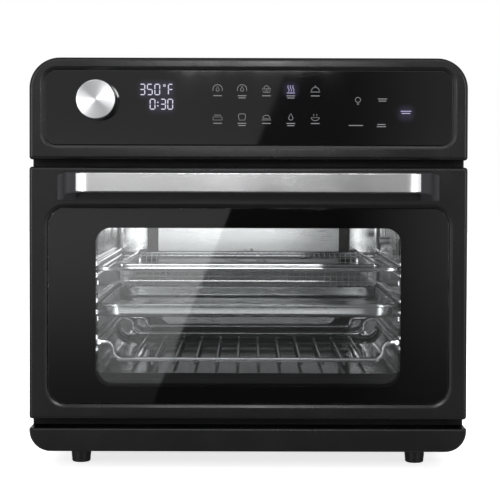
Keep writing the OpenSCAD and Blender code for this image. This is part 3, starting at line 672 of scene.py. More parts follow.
def make_panel_glass():
    """Printed glass of the control panel, bored for the knob's shaft."""
    pane = plate(PANEL_GLASS_X, PANEL_GLASS_Z0, PANEL_GLASS_Z1, 12, 12, 0.6, 3.1, 0.7, 0.3)
    bore = rod(4.5, -2, 8, point(KNOB_X, 0, KNOB_Z), steps=32)
    mesh = carve(mesh_from("panel_glass", [pane]), [bore])
    finish_piece("panel_glass", mesh, "panel_glass", "casing", ["control_glass"])


def make_outer_wrap():
    """Bent steel wrap over the sides and the top, open at the top for the tank."""
    half, top, r = HALF_W - 1, BODY_H - 1, 29
    outer, inner = [], []
    for wall, x, high, radius in ((outer, half, top, r), (inner, half - 1, top - 1, r - 1)):
        wall.append((x, BASE_TOP))
        for sign in (1, -1):
            for i in range(25):
                a = math.radians(90 * i / 24 if sign > 0 else 90 - 90 * i / 24)
                u, v = radius * math.cos(a), radius * math.sin(a)
                wall.append((sign * (x - radius + u), high - radius + v))
        wall.append((-x, BASE_TOP))
    section = outer + inner[::-1]
    mesh = mesh_from("outer_wrap_shell", [loft([(section, BEZEL_D), (section, BODY_D)])])
    x0, x1, d0, d1, _, _ = span_box("tank_lid")
    tools = [box_part(x0 - 2, x1 + 2, d0 - 2, d1 + 2, BODY_H - 10, BODY_H + 5)]
    for side in (-1, 1):
        x0, x1 = sorted((side * (half - 5), side * (half + 5)))
        tools += [box_part(x0, x1, 300 + i * 7, 303 + i * 7, 330, 365) for i in range(10)]
    mesh = bevel_mesh(carve(mesh, tools), 0.3)
    finish_piece("outer_wrap_shell", mesh, "powder_coat", "casing", ["outer_wrap"])


def make_base():
    """The base pan and the drip tray in front of it, both with big lower corners."""
    r = BASE_TOP - FOOT_H - 2.2
    tray = mesh_from("crumb_tray_body", [plate(HALF_W, FOOT_H, BASE_TOP, r, 0.8, 0, DRIP_D, 2, 0.6)])
    hollow = (HALF_W - 4, FOOT_H + 3, BASE_TOP + 8, r - 4, 0.5)
    hollow = loft(rings_of(hollow, ((0, 3.5), (0, DRIP_D - 3))))
    tray = bevel_mesh(carve(tray, [hollow]), 0.5, angle=50)
    finish_piece("crumb_tray_body", tray, "black_abs", "crumb_drip_tray", ["drip_tray"])
    shell = plate(HALF_W - 1, FOOT_H, BASE_TOP, r, 0.8, DRIP_D + 1, BODY_D, 0.8, 0.8)
    pan = mesh_from("base_pan_shell", [shell])
    hollow = (HALF_W - 3.5, FOOT_H + 2.5, BASE_TOP + 8, r - 2.5, 0.5)
    hollow = loft(rings_of(hollow, ((0, DRIP_D + 3.5), (0, BODY_D - 2.5))))
    vents = [box_part(-66 + i * 12, -62 + i * 12, 120, 300, FOOT_H - 5, FOOT_H + 12) for i in range(12)]
    pan = bevel_mesh(carve(carve(pan, [hollow]), vents), 0.4, angle=50)
    finish_piece("base_pan_shell", pan, "powder_coat", "casing", ["base_pan"])


def make_feet():
    """Four moulded feet with rounded treads."""
    profile = [(0, 0), (7.6, 0)]
    profile += [(7.6 + 1.8 * math.sin(a), 1.8 - 1.8 * math.cos(a)) for a in (0.4, 0.8, 1.2, 1.57)]
    profile += [(9.4, 3), (10, 9), (10, FOOT_H + 0.3), (0, FOOT_H + 0.3)]
    template = merged(mesh_from("foot", [lathe(profile, Vector(), "Z", 40)]))
    spots = [point(sx * 170, depth, 0) for sx in (-1, 1) for depth in (55, 345)]
    scatter("moulded_feet", spots, template, (0, 0, 0), "black_pp", "casing", ["feet"], 0)


def screw_template(head_r, head_h, shank_r, shank_l):
    """A pan-head screw with a cross recess, its head towards +Z and its seat at 0."""
    profile = [(0, -shank_l), (shank_r, -shank_l), (shank_r, 0), (head_r, 0), (head_r, 0.35 * head_h)]
    for i in range(1, 6):
        a = math.radians(18 * i)
        r = head_r * math.cos(a) ** 0.5 if i < 5 else 0
        profile.append((r, head_h * (0.35 + 0.65 * math.sin(a))))
    head = mesh_from("screw", [lathe(profile, Vector(), "Z", 28)])
    slot, arm, deep = 0.16 * head_r, 0.55 * head_r, 0.45 * head_h
    cross = []
    for half_x, half_y in ((arm, slot), (slot, arm)):
        bar_x, bar_y, bar_z = (-half_x, half_x), (-half_y, half_y), (deep, head_h + 1)
        verts = [Vector((x, y, z)) * MM for x in bar_x for y in bar_y for z in bar_z]
        cross.append((verts, box_part(0, 1, 0, 1, 0, 1)[1]))
    for tool in cross:
        head = carve(head, [tool])
    return merged(head)


def make_screws():
    """Every screw that shows: rear, door and fan cover."""
    rear = [(sx * SCREW_X, z) for sx in (-1, 1) for z in (BASE_TOP + 15, 150, 250, 340)]
    rear += [(x, BODY_H - 12) for x in (-120, 0, 120)]
    rear = [point(x, BODY_D, z) for x, z in rear]
    door = [point(sx * SCREW_X, 19, z) for sx in (-1, 1) for z in (130, 190, 250, 285)]
    door += [point(sx * HANDLE_SCREW_X, 5.5, HANDLE_Z) for sx in (-1, 1)]
    cover = [point(sx * 106, 314, FAN_Z + dz) for sx in (-1, 1) for dz in (-58, 62)]
    # Each set's name, places, screw, quarter turns about the x axis, body and node
    sets = (
        ("case_screw_set", rear, (4, 2.2, 1.9, 10), -1, "casing", "case_screws"),
        ("door_screw_set", door, (3.2, 1.4, 1.8, 8), -1, "door", "door_screws"),
        ("cover_screw_set", cover, (3.6, 1.6, 1.8, 8), 1, "casing", "cover_screws"),
    )
    for name, places, screw, quarters, body, node in sets:
        turn = (quarters * math.pi / 2, 0, 0)
        scatter(name, places, screw_template(*screw), turn, "zinc", body, [node])


def make_cavity():
    """Polished liner with a rolled front lip and a rounded back, bored for the lamp and the probe."""
    size = (CAVITY_X, CAVITY_Z0, CAVITY_Z1, 14)
    opening = (FAN_PORT_X, CAVITY_Z0 + 5, CAVITY_Z1 - 5, 20)
    front, back, sheet = 23.5, CAVITY_BACK, LINER_SHEET
    rings = rings_of(opening, ((0, back + sheet), (0, back)))
    rings += rings_of(size, [(inset, back - setback) for inset, setback in rounding(6, 6)])
    rings += rings_of(size, ((0, front), (-sheet, front), (-sheet, back + sheet)))
    mesh = mesh_from("polished_cavity", [loft(rings, closed=True)])
    lamp = rod(20.2, -4, 8, point(CAVITY_X, 110, CAVITY_Z1 - 43), "X", 40)
    probe = rod(4.3, -4, 8, point(CAVITY_X, 230, CAVITY_Z1 - 50), "X", 24)
    mesh = carve(mesh, [lamp, probe])
    finish_piece("polished_cavity", mesh, "cavity", "casing", ["cavity_liner"], 30)


def make_wall_ribs():
    """Pressed panels high on both side walls, above the shelf guides."""
    parts = []
    for side in (-1, 1):
        for d0, d1 in ((150, 205), (245, 300)):
            rings = []
            for inset, rise in ((0, 0.1), (1.2, 0.5), (2.6, 1.0), (4.0, 1.2)):
                half = (d1 - d0) / 2 - inset
                ring = []
                for off, z in outline(half, CAVITY_Z1 - 52 + inset, CAVITY_Z1 - 22 - inset, 5, steps=5):
                    ring.append(point(side * (CAVITY_X - rise), (d0 + d1) / 2 + off, z))
                rings.append(ring)
            parts.append(skin(rings))
    finish_piece("pressed_wall_panels", parts, "cavity", "casing")


# ---------- control panel ----------

def make_knob():
    """Turned knob: a polished side, and a spun face with a rounded rim."""
    centre = point(KNOB_X, 0, KNOB_Z)
    r, face = KNOB_R, KNOB_FRONT
    side = [(0, -1.0), (r - 1.0, -1.0), (r - 0.3, -1.7), (r, face + 3.2), (r - 0.25, face + 2.2)]
    side += [(r - 0.8, face + 1.5), (r - 1.4, face + 1.25), (0, face + 1.25)]
    body = [lathe(side, centre, steps=96)]
    finish_piece("knob_body", body, "knob_side", "selector_knob", ["knob"], 50)
    turned = [(0, face + 1.3), (r - 1.1, face + 1.3), (r - 0.75, face + 0.9), (r - 1.0, face + 0.25)]
    turned += [(r - 1.5, face + 0.05), (r - 1.9, face + 0.2), (0, face + 0.2)]
    face = [lathe(turned, centre, steps=96)]
    finish_piece("knob_face", face, "knob_face", "selector_knob", ["knob_cap"], 30)


# Depths between which printed lines lie, and lit segments and dots
LINE_DEPTHS, SPOT_DEPTHS = (0.52, 0.72), (0.5, 0.75)


def ribbon(line, width):
    """A printed line of even width along (x, z) pairs; closed where it ends where it starts."""
    closed = math.dist(line[0], line[-1]) < 1e-6
    spots = line[:-1] if closed else line
    count = len(spots)
    rings = []
    for i, (x, z) in enumerate(spots):
        before = spots[i - 1] if closed or i else spots[0]
        after = spots[(i + 1) % count] if closed or i < count - 1 else spots[-1]
        ax, az = x - before[0], z - before[1]
        bx, bz = after[0] - x, after[1] - z
        a, b = math.hypot(ax, az) or 1, math.hypot(bx, bz) or 1
        tx, tz = ax / a + bx / b, az / a + bz / b
        t = math.hypot(tx, tz) or 1
        nx, nz = -tz / t * width / 2, tx / t * width / 2
        near, far = LINE_DEPTHS
        corners = ((1, near), (-1, near), (-1, far), (1, far))
        rings.append([point(x + side * nx, depth, z + side * nz) for side, depth in corners])
    return skin(rings, closed)


def bar(x, z, half, width):
    """A level printed line, centred on x."""
    return ribbon([(x - half, z), (x + half, z)], width)


def arc(x, z, r, start, end, steps=10, squash=1.0):
    """Points on an arc between two angles in degrees."""
    turns = [math.radians(start + (end - start) * i / steps) for i in range(steps + 1)]
    return [(x + r * math.cos(a), z + squash * r * math.sin(a)) for a in turns]


SEGMENTS = {
    "a": ((0, 1), (1, 1)),
    "b": ((1, 1), (1, 0.5)),
    "c": ((1, 0.5), (1, 0)),
    "d": ((0, 0), (1, 0)),
    "e": ((0, 0.5), (0, 0)),
    "f": ((0, 1), (0, 0.5)),
    "g": ((0, 0.5), (1, 0.5)),
}
GLYPHS = {"0": "abcdef", "3": "abcdg", "5": "acdfg", "F": "aefg"}


def seven_segment(glyph, x, z, width=4.7, height=10.2, stroke=0.95):
    """One character of the display, its lower left corner at x, z."""
    parts = []
    for name in GLYPHS[glyph]:
        (x0, z0), (x1, z1) = SEGMENTS[name]
        ax, az, bx, bz = x + x0 * width, z + z0 * height, x + x1 * width, z + z1 * height
        long = math.hypot(bx - ax, bz - az)
        ux, uz = (bx - ax) / long, (bz - az) / long
        gap = 0.28
        ends = (ax + ux * gap, az + uz * gap), (bx - ux * gap, bz - uz * gap)
        tip = stroke / 2
        parts.append(hexagon(ends, (ux, uz), tip))
    return parts


def hexagon(ends, along, tip):
    """A lit bar with pointed ends."""
    (ax, az), (bx, bz) = ends
    ux, uz = along
    corners = [
        (ax, az),
        (ax + ux * tip - uz * tip, az + uz * tip + ux * tip),
        (bx - ux * tip - uz * tip, bz - uz * tip + ux * tip),
        (bx, bz),
        (bx - ux * tip + uz * tip, bz - uz * tip - ux * tip),
        (ax + ux * tip + uz * tip, az + uz * tip - ux * tip),
    ]
    return loft([(corners, depth) for depth in SPOT_DEPTHS])


def dot(x, z, r):
    """A round printed spot."""
    spots = arc(x, z, r, 0, 360, 12)[:-1]
    return loft([(spots, depth) for depth in SPOT_DEPTHS])


def make_display():
    """Set temperature and time in lit segments."""
    upper, lower = KNOB_Z + 5.6, KNOB_Z - 8.5
    parts = []
    for i, glyph in enumerate("350"):
        parts += seven_segment(glyph, DISPLAY_X + 21.6 + i * 7.3, upper)
    parts += seven_segment("F", DISPLAY_X + 49.4, upper, width=4.4)
    parts.append(ribbon(arc(DISPLAY_X + 45.5, KNOB_Z + 14.6, 0.95, 0, 360, 12), 0.65))
    for glyph, x in (("0", 31.6), ("3", 41.9), ("0", 48.9)):
        parts += seven_segment(glyph, DISPLAY_X + x, lower, height=9.7)
    parts += [dot(DISPLAY_X + 39.1, KNOB_Z + z, 0.7) for z in (-5.3, -1.9)]
    finish_piece("display_digits", parts, "digits", "casing", smooth=30)


def steam_mark(x, z):
    """Arch over a drop."""
    drop = [(x, z + 3.2)] + arc(x, z - 0.4, 1.5, 30, -210, 10) + [(x, z + 3.2)]
    return [ribbon(arc(x, z, 4.6, 200, -20, 14), 0.55), ribbon(drop, 0.5)]


def basket_mark(x, z):
    """Basket with a handle."""
    tub = [(x - 4, z + 1), (x - 3, z - 3), (x + 3, z - 3), (x + 4, z + 1), (x - 4, z + 1)]
    lines = [ribbon(tub, 0.5), ribbon(arc(x, z + 1, 2.6, 180, 0, 8), 0.5)]
    return lines + [ribbon([(x + i * 1.6, z + 0.8), (x + i * 1.3, z - 2.8)], 0.35) for i in (-1, 0, 1)]


def wave_mark(x, z):
    """Three rising waves over a bar."""
    lines = []
    for i in (-1, 0, 1):
        wave = [(x + i * 2.4 + 0.7 * math.sin(t * 1.05), z - 2 + t * 1.0) for t in range(7)]
        lines.append(ribbon(wave, 0.6))
    return lines + [bar(x, z - 3.4, 4, 0.7)]


def dome_mark(x, z):
    """Domed dish."""
    dome = ribbon(arc(x, z - 1.5, 3.8, 180, 0, 12), 0.55)
    return [dome, dot(x, z + 3.4, 0.6), bar(x, z - 2.4, 4.8, 0.55)]


def tray_mark(x, z):
    """Lidded tray."""
    box = [(x - 4.4, z), (x - 4.4, z - 3), (x + 4.4, z - 3), (x + 4.4, z), (x - 4.4, z)]
    return [ribbon(box, 0.5), bar(x, z + 1.8, 3.4, 0.5)]


def toast_mark(x, z):
    """Slice of bread."""
    top = arc(x - 1.8, z + 1.4, 1.7, 200, 80, 6) + arc(x + 1.8, z + 1.4, 1.7, 100, -20, 6)
    slice_line = [(x - 2.8, z - 3)] + top + [(x + 2.8, z - 3), (x - 2.8, z - 3)]
    return [ribbon(slice_line, 0.55)]


def loaf_mark(x, z):
    """Loaf on a shelf line."""
    loaf = arc(x, z - 1.4, 3.6, 180, 0, 12, 0.9) + [(x - 3.6, z - 1.4)]
    return [ribbon(loaf, 0.5), bar(x, z - 2.8, 4.6, 0.5)]


def drop_mark(x, z):
    """Drop."""
    return [ribbon([(x, z + 3.6)] + arc(x, z - 0.8, 2.1, 30, -210, 12) + [(x, z + 3.6)], 0.55)]


def dish_mark(x, z):
    """Shallow dish with steam."""
    dish = arc(x, z - 0.4, 4, 180, 360, 12, 0.75) + [(x - 4, z - 0.4)]
    return [ribbon(dish, 0.5)] + [ribbon([(x + i, z + 1), (x + i, z + 3.2)], 0.45) for i in (-1.5, 1.5)]


def lamp_mark(x, z):
    """Light bulb."""
    bulb = arc(x, z + 1, 2.5, 240, -60, 14)
    lines = [ribbon(bulb + [(x - 1.25, z - 1.17)], 0.55)]
    return lines + [bar(x, z - 2.4 - i, 1, 0.45) for i in (0, 1)]


def label_bars(x, z, *widths):
    """Short bars that stand where a caption would be."""
    return [bar(x, z - 2.1 * i, width / 2, 0.85) for i, width in enumerate(widths)]


def make_touch_marks():
    """Printed pictograms, grey where idle and violet where chosen."""
    rows = (
        (KNOB_Z + 11, (steam_mark, steam_mark, basket_mark, wave_mark, dome_mark)),
        (KNOB_Z - 16, (tray_mark, toast_mark, loaf_mark, drop_mark, dish_mark)),
    )
    idle, lit = [], []
    for z, marks in rows:
        for i, mark in enumerate(marks):
            x = ICON_X + i * ICON_PITCH
            target = lit if mark is wave_mark else idle
            target += mark(x, z)
            idle += label_bars(x, z - 6.2, *((8.5, 7) if i % 2 else (8.5,)))
    idle += lamp_mark(107, KNOB_Z)
    idle += label_bars(131, KNOB_Z + 2, 9, 7.5)
    idle += label_bars(105, KNOB_Z - 24, 14)
    idle += label_bars(130, KNOB_Z - 23, 8, 9)
    lit += label_bars(154, KNOB_Z - 10, 10.5, 8.5)
    finish_piece("touch_marks", idle, "icon", "casing", smooth=30)
    finish_piece("touch_marks_lit", lit, "lit_icon", "casing", smooth=30)


# ---------- door ----------

def door_heel_tool():
    """What is cut from under the back of the door, so that its heel is round about the hinge."""
    lo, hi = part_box("hinge_pins")
    axis_z = (lo[2] + hi[2]) / 2 / MM
    axis_d = ((lo[1] + hi[1]) / 2 - FRONT) / MM
    r = axis_z - DOOR_Z0
    turns = [math.radians(-90 + 7.5 * i) for i in range(13)]
    corner = [(axis_d + r * math.cos(a), axis_z + r * math.sin(a)) for a in turns]
    corner += [(axis_d + r + 5, axis_z), (axis_d + r + 5, DOOR_Z0 - 4), (axis_d, DOOR_Z0 - 4)]
    return skin([[point(x, d, z) for d, z in corner] for x in (-HALF_W - 2, HALF_W + 2)])


def make_door_frame():
    """Moulded door surround: a groove round the glass, and pockets behind for the hinges."""
    size = (HALF_W, DOOR_Z0, DOOR_Z1, 3)
    glass = (GLASS_X + GLASS_GAP, GLASS_Z0 - GLASS_GAP, GLASS_Z1 + GLASS_GAP, 18 + GLASS_GAP)
    opening = (184, DOOR_Z0 + 28, DOOR_Z0 + 195, 12)
    pocket = (187, DOOR_Z0 + 25, DOOR_Z0 + 198, 14)
    step, web, back = 4.8, 5.5, 18
    rings = rings_of(opening, ((0, back), (0, step))) + rings_of(glass, ((0, step), *GLASS_LIP))
    rings += rings_of(size, rounding(3.2, 8))
    rings += rings_of(size, ((0, back - 0.6), (0.6, back), (3, back), (3, web)))
    rings += rings_of(pocket, ((0, web), (0, back)))
    mesh = carve(mesh_from("door_surround", [loft(rings, closed=True)]), [door_heel_tool()])
    tools = []
    for side in (-1, 1):
        x0, x1 = sorted((side * 181, side * 200))
        tools.append(box_part(x0, x1, web, 21, DOOR_Z0 - 1, GLASS_Z0 - 0.5))
        tools.append(rod(2.1, -2, 8, point(side * HANDLE_SCREW_X, 0, HANDLE_Z), steps=20))
    mesh = carve(mesh, tools)
    finish_piece("door_surround", mesh, "black_abs", "door", ["door_frame"])


def make_door_glass():
    """Tempered outer pane and, behind it, the black ink that frames the window."""
    pane = [plate(GLASS_X, GLASS_Z0, GLASS_Z1, 18, 18, 0.5, 4.5, 0.9, 0.4)]
    finish_piece("outer_pane", pane, "window_glass", "door", ["door_outer_glass"])
    outer = (GLASS_X - 0.6, GLASS_Z0 + 0.6, GLASS_Z1 - 0.6, 17.4)
    window = (WINDOW_X, WINDOW_Z0, WINDOW_Z1, 15)
    near, far = 4.35, 4.7
    rings = rings_of(outer, ((0, near), (0, far))) + rings_of(window, ((0, far), (0, near)))
    finish_piece("window_border_ink", [loft(rings, closed=True)], "enamel", "door")


# The handle's bend: the radii of its bright face and of its core's middle line, and the angles
# at which the drop starts and the bright face ends
FACE_R, CORE_R, DROP_ANGLE, TRIM_ANGLE = 31, 24, 18, 29


def handle_stations():
    """Places along the handle as (centre x, centre depth, outward x, outward depth, drop, spread).

    The drop grows from 0 to 1 round the bend and down the leg, the spread down the leg only."""
    centre_x, centre_d = 150, HANDLE_FRONT + FACE_R
    bend, leg = CORE_R * math.radians(90 - DROP_ANGLE), -centre_d
    right = []
    for i in range(17):
        a = math.radians(90 * i / 16)
        t = max(0.0, (a - math.radians(DROP_ANGLE)) * CORE_R) / (bend + leg)
        right.append((centre_x, centre_d, math.sin(a), -math.cos(a), t * t, 0.0))
    for i in range(1, 11):
        t = i / 10
        drop = (bend + t * leg) / (bend + leg)
        right.append((centre_x, centre_d + t * leg, 1.0, 0.0, drop * drop, t * t))
    left = [(-x, d, -ox, od, drop, spread) for x, d, ox, od, drop, spread in reversed(right)]
    return left + right


def section_points(r0, r1, z0, z1, edge):
    """Rounded rectangle between two radii and two heights."""
    pairs = []
    for r, z, start in ((r1, z0, -90), (r1, z1, 0), (r0, z1, 90), (r0, z0, 180)):
        cr = r - edge if r == r1 else r + edge
        cz = z + edge if z == z0 else z - edge
        for i in range(5):
            a = math.radians(start + 22.5 * i)
            pairs.append((cr + edge * math.cos(a), cz + edge * math.sin(a)))
    return pairs


def make_handle():
    """Bowed handle: a dark moulded core that flares into the door, and a brushed steel face."""
    low, high = HANDLE_Z - 10, HANDLE_Z + 10
    rings = []
    for x, depth, out_x, out_d, drop, spread in handle_stations():
        pairs = section_points(18, 29 + 8 * spread, low - 8 * drop, high - 2 * spread, 1.6)
        rings.append([point(x + r * out_x, depth + r * out_d, z) for r, z in pairs])
    # The body's lighter grey is painted sheen, standing in for the light that its curved ends reflect
    finish_piece("handle_body", [skin(rings)], "painted_sheen_abs", "door", ["handle_core"])
    rings = []
    limit = math.sin(math.radians(TRIM_ANGLE))
    for x, depth, out_x, out_d, _, _ in handle_stations():
        if abs(out_x) > limit:
            continue
        pairs = section_points(28.6, FACE_R, low + 1, high - 1, 0.7)
        rings.append([point(x + r * out_x, depth + r * out_d, z) for r, z in pairs])
    finish_piece("handle_face", [skin(rings)], "handle", "door", ["handle_trim"])


# ---------- what stands in the cavity ----------

def make_wire_rack():
    """Chromed rack: side wires with stepped cross rails, and twelve lengthwise wires below."""
    z, plane, side = LEVELS[0], LEVELS[0] - 18, CAVITY_X - 4.8
    front, back, rear = 58, 304, 310
    stepped = [(-side, z), (-138, z), (-138, plane), (138, plane), (138, z), (side, z)]
    raised = [(-side, z), (-122, z), (-122, z - 10), (122, z - 10), (122, z), (side, z)]
    rails = [[point(x, d, h) for x, h in stepped] for d in (front, back)]
    meshes = [wire_mesh("rack_rails", rails, 2.4, 9, "chrome", 14, 10)]
    raised = [point(x, rear, h) for x, h in raised]
    meshes.append(wire_mesh("rack_rear", [raised], 2.4, 5, "chrome", 14))
    sides = [[point(sx * side, front - 2.4, z), point(sx * side, rear + 2.4, z)] for sx in (-1, 1)]
    meshes.append(wire_mesh("rack_sides", sides, 2.45, 1, "chrome", 14))
    count, reach = 12, 119.5
    wires = []
    for i in range(count):
        x = -reach + 2 * reach * i / (count - 1)
        wires.append([point(x, front - 2, plane - 3.6), point(x, back + 2, plane - 3.6)])
    meshes.append(wire_mesh("rack_wires", wires, 1.7, 1, "chrome", 12))
    mesh = join_meshes("roasting_rack", meshes)
    finish_piece("roasting_rack", mesh, "chrome", "rack", ["wire_rack"])


def make_tray():
    """Pressed tray with rounded corners and a rolled rim."""
    rim = LEVELS[1] + 1.6
    base = rim - 14
    half, d0, d1, r, sheet = CAVITY_X - 7, 60, 302, 20, 0.8
    shape = (half, d0, d1, r)
    under = ((30, 0), (6, 0), (2.6, 0.4), (0.9, 1.8), (0.3, 4), (0, 10.6))
    inside = ((0.9, 10.6), (1.1, 4), (1.7, 2.4), (3.2, 1.2), (6.5, sheet), (30, sheet))
    turns = [math.radians(180 - 30 * turn) for turn in range(9)]
    curl = [(-2 - 2 * math.cos(a), rim - 2 + 2 * math.sin(a)) for a in turns]
    steps = [(inset, base + rise) for inset, rise in under] + curl
    steps += [(inset, base + rise) for inset, rise in inside]
    shell = [plan_loft(rings_of(shape, steps))]
    finish_piece("pressed_tray", shell, "tray", "tray", ["baking_tray"])


def make_basket():
    """Air-fry basket: a heavy wire frame that carries a pan of fine woven wire."""
    z, side = LEVELS[2], CAVITY_X - 4.8
    rim = z + 3.6
    front, back = 58, 306
    loop = [point(x, d, z) for x, d in ((-side, front), (side, front), (side, back), (-side, back))]
    meshes = [wire_mesh("basket_loop", [loop + loop[:1]], 2.3, 6, "chrome", 14)]
    loop = [point(x, d, rim) for x, d in ((-132, 60), (132, 60), (132, back), (-132, back))]
    meshes.append(wire_mesh("basket_rim", [loop + loop[:1]], 1.8, 5, "chrome", 12))
    mesh = join_meshes("basket_wire_frame", meshes)
    finish_piece("basket_wire_frame", mesh, "chrome", "basket", ["basket_frame"])

    half, near, far = 130.8, 63.2, 302.8
    top, low, pitch, wire = rim - 1.9, rim - 21.3, 6.3, 0.6
    lines = []
    count = round(2 * (half - 3) / pitch)
    for i in range(count + 1):
        x = -half + 3 + 2 * (half - 3) * i / count
        staple = ((near, top), (near, low), (far, low), (far, top))
        lines.append([point(x, d, h) for d, h in staple])
    count = round((far - near - 6) / pitch)
    for i in range(count + 1):
        d = near + 3 + (far - near - 6) * i / count
        staple = ((-half, top), (-half, low + 2 * wire), (half, low + 2 * wire), (half, top))
        lines.append([point(x, d, h) for x, h in staple])
    for i in range(3):
        h = low + 5 + i * 4.9
        hoop = [point(x, d, h) for x, d in ((-half, near), (half, near), (half, far), (-half, far))]
        lines.append(hoop + hoop[:1])
    mesh = wire_mesh("basket_fine_mesh", lines, wire, 2.5, "cover", 6, 3)
    finish_piece("basket_fine_mesh", mesh, "cover", "basket", ["basket_mesh"])


# ---------- water tank ----------

def make_tank_lid():
    """Lid with soft edges and a scooped finger grip."""
    x0, x1, d0, d1, _, top = span_box("tank_lid")
    tank = span_box("water_tank")
    half, middle = (x1 - x0) / 2, (x0 + x1) / 2
    plug = (half - 1.5, d0 + 1.5, d1 - 1.5, 1.2)
    edge = [(inset, top - setback) for inset, setback in reversed(rounding(2))]
    rings = rings_of(plug, ((0, tank[5]), (0, top - 4)), middle)
    rings += rings_of((half, d0, d1, 3), [(0, top - 4)] + edge, middle)
    mesh = mesh_from("water_tank_lid", [plan_loft(rings)])
    scoop = rod(10, -30, 30, point(middle, tank[2] + 28, top + 3.5), "X", 48)
    mesh = bevel_mesh(carve(mesh, [scoop]), 0.6, angle=45)
    finish_piece("water_tank_lid", mesh, "black_abs", "tank", ["tank_lid"])


# ---------- the CAD nodes that stay ----------

CAD_FINISH = {
    "powder_coat": ["rear_panel"],
    "stove_paint": ["front_frame"],
    "black_pp": ["rear_spacers", "cord_gland"],
    "silicone": ["door_gasket"],
    "zinc": [
        "service_shelf", "steam_generator", "encoder", "encoder_shaft", "motor_shaft", "hinge_pins",
        "hinge_bracket_left", "hinge_bracket_right", "hinge_arm_left", "hinge_arm_right",
    ],
    "solder_mask": ["touch_board", "power_board"],
    "white_pp": ["display_module", "water_pump", "tank_dock"],
    "cavity": ["door_inner_panel"],
    "cover": ["fan_cover", "convection_fan"],
    "chrome": ["rack_guide_left", "rack_guide_right"],
    "sheath": ["top_heater", "bottom_heater", "ring_heater", "door_springs", "fan_chamber"],
    "lamination": ["fan_motor", "cooling_blade"],
    "ceramic": ["oven_lamp"],
    "window_glass": ["lamp_lens"],
    "coated_glass": ["door_inner_glass"],
    "tray": ["temperature_probe"],
    "clear_hose": ["water_hose"],
    "tank": ["water_tank"],
}


def finish_cad_nodes():
    """Gives each carried-over CAD node its procedural material."""
    for key, nodes in CAD_FINISH.items():
        for node in nodes:
            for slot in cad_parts[node].material_slots:
                slot.material = MAT[key]


# ---------- studio ----------

def make_floor():
    """Pale floor that fades into the backdrop."""
    mesh = bpy.data.meshes.new("floor")
    mesh.from_pydata([(-6, -6, 0), (6, -6, 0), (6, 6, 0), (-6, 6, 0)], [], [[0, 1, 2, 3]])
    sockets = {"Roughness": 0.9, "Emission_Color": (1, 1, 1, 1), "Emission_Strength": 0.75}
    made, tree, shader = new_material("matt_white_paper", **sockets)
    surface(tree, shader, (grain(tree, 3).outputs["Fac"], "#f2f2f2", "#f6f6f6"))
    mesh.materials.append(made)
    floor = linked("floor", mesh)
    floor.visible_glossy = False
    floor.visible_transmission = False


def make_world():
    """White backdrop; in reflections a studio with a slanting card at the left."""
    world = bpy.data.worlds.new("studio")
    bpy.context.scene.world = world
    world.use_nodes = True
    tree = world.node_tree
    tree.nodes.clear()
    white = (1, 1, 1, 1)
    coords = add(tree, "ShaderNodeTexCoord")
    split = add(tree, "ShaderNodeSeparateXYZ", {"Vector": coords.outputs["Generated"]})
    value = {"x": split.outputs["X"], "depth": split.outputs["Y"], "z": split.outputs["Z"]}
    sums = (
        ("deep", "ABSOLUTE", "depth", 0.0),
        ("safe", "MAXIMUM", "deep", 0.02),
        ("across", "DIVIDE", "x", "safe"),
        ("up", "DIVIDE", "z", "safe"),
        ("width", "ABSOLUTE", "across", 0.0),
        ("slant", "MULTIPLY", "up", 0.4),
        ("edge", "SUBTRACT", "across", "slant"),
    )
    # Each step is a soft change of its source from start to end, from low to high
    steps = (
        ("card_edge", "edge", -0.0058, -0.0028, 1, 0),
        ("card_fill", "edge", -0.14, -0.01, 0.8, 0.72),
        ("right_rise", "across", 0.06, 0.15, 0, 0.5),
        ("low_fade", "up", -0.17, -0.03, 0.16, 1),
        ("high_fade", "up", -0.03, 0.05, 1, 0.62),
        ("top_fade", "up", 0.3, 0.9, 1, 0.2),
        ("in_front", "depth", -0.05, 0.05, 1, 0),
        ("flank_start", "width", 0.35, 0.6, 0, 0.8),
        ("flank_end", "width", 1.4, 2.0, 1, 0),
        ("roof_start", "up", 0.45, 0.6, 0, 0.6),
        ("roof_end", "up", 1.1, 1.6, 1, 0),
    )
    joins = (
        ("card", "MULTIPLY", "card_edge", "card_fill"),
        ("sides", "MAXIMUM", "card", "right_rise"),
        ("low_sides", "MULTIPLY", "sides", "low_fade"),
        ("mid_sides", "MULTIPLY", "low_sides", "high_fade"),
        ("front_card", "MULTIPLY", "mid_sides", "top_fade"),
        ("flank_band", "MULTIPLY", "flank_start", "flank_end"),
        ("roof_band", "MULTIPLY", "roof_start", "roof_end"),
        ("bands", "MAXIMUM", "flank_band", "roof_band"),
        ("front_bands", "MULTIPLY", "bands", "in_front"),
        ("lit", "ADD", "front_card", "front_bands"),
        ("level", "ADD", "lit", 0.06),
    )
    for table in (sums, steps, joins):
        for name, *row in table:
            if table is steps:
                source, start, end, low, high = row
                links = {"Value": value[source], "From Min": start, "From Max": end}
                links.update({"To Min": low, "To Max": high})
                made = add(tree, "ShaderNodeMapRange", links, interpolation_type="SMOOTHSTEP")
            else:
                operation, first, second = row
                links = {0: value[first], 1: value.get(second, second)}
                made = add(tree, "ShaderNodeMath", links, operation=operation)
            value[name] = made.outputs[0]
    studio = add(tree, "ShaderNodeBackground", {"Color": white, "Strength": value["level"]})
    backdrop = add(tree, "ShaderNodeBackground", {"Color": white, "Strength": 1.0})
    path = add(tree, "ShaderNodeLightPath")
    shades = {0: path.outputs["Is Camera Ray"], 1: studio.outputs[0], 2: backdrop.outputs[0]}
    mix = add(tree, "ShaderNodeMixShader", shades)
    add(tree, "ShaderNodeOutputWorld", {"Surface": mix.outputs[0]})


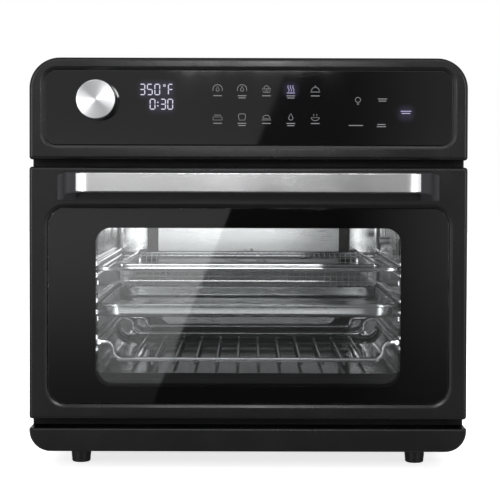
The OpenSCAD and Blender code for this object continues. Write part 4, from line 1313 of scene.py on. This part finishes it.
def make_light(name, place, target, width, height, watts, glossy=True):
    """A rectangular area light that the camera doesn't see."""
    data = bpy.data.lights.new(name, "AREA")
    data.shape = "RECTANGLE"
    data.size, data.size_y, data.energy = width, height, watts
    lamp = linked(name, data)
    lamp.location = place
    lamp.rotation_euler = (Vector(target) - Vector(place)).to_track_quat("-Z", "Y").to_euler()
    lamp.visible_camera = False
    lamp.visible_transmission = False
    lamp.visible_glossy = glossy


def make_lights():
    """Soft boxes above and to the left, and small ones that light the cavity from its mouth."""
    middle = (0, 0, 0.2)
    make_light("top_box", (0, -1.7, 1.6), middle, 1.8, 0.3, 7)
    make_light("handle_box", (0, -1.5, 0.56), (0, -0.2, 0.31), 0.3, 0.12, 2.4)
    make_light("left_box", (-1.2, -1.6, 0.5), middle, 0.3, 1.0, 6)
    make_light("right_box", (1.2, -1.6, 0.5), middle, 0.3, 1.0, 5)
    make_light("roof_wash", (0, 0.1, 2.2), middle, 1.6, 1.2, 12, glossy=False)
    make_light("floor_wash", (0, 0.5, 2.6), (0, 0.5, 0), 4, 4, 50, glossy=False)
    wide, mid = 2 * (WINDOW_X - 4) * MM, (CAVITY_Z0 + CAVITY_Z1) / 2
    upper, lower = point(-25, 27, mid + 58), point(-12, 27, mid - 38)
    make_light("mouth_upper", upper, upper + Vector((0, 1, 0.02)), wide * 0.7, 0.045, 0.17)
    make_light("mouth_lower", lower, lower + Vector((0, 1, 0)), wide * 0.9, 0.009, 0.012)
    for side in (-1, 1):
        place = point(side * (CAVITY_X - 6), 34, mid)
        make_light(f"mouth_side_{side}", place, point(-side * 40, 300, FAN_Z), 0.01, 0.13, 0.02)


def make_camera():
    """Camera at the height of the handle, a little above the middle of the oven."""
    data = bpy.data.cameras.new("camera")
    data.lens, data.sensor_width, data.shift_y = 102.9, 36, -0.0855
    camera = linked("camera", data)
    camera.location = (0.0015, FRONT - 1.4, 0.29)
    camera.rotation_euler = Euler((math.radians(88.8), math.radians(-0.15), 0))
    bpy.context.scene.camera = camera
    bpy.context.scene.view_settings.view_transform = "Standard"


make_camera()
make_world()
make_lights()
make_floor()
make_bezel()
make_panel_glass()
make_outer_wrap()
make_base()
make_feet()
make_screws()
make_cavity()
make_wall_ribs()
make_knob()
make_display()
make_touch_marks()
make_door_frame()
make_door_glass()
make_handle()
make_wire_rack()
make_tray()
make_basket()
make_tank_lid()
finish_cad_nodes()
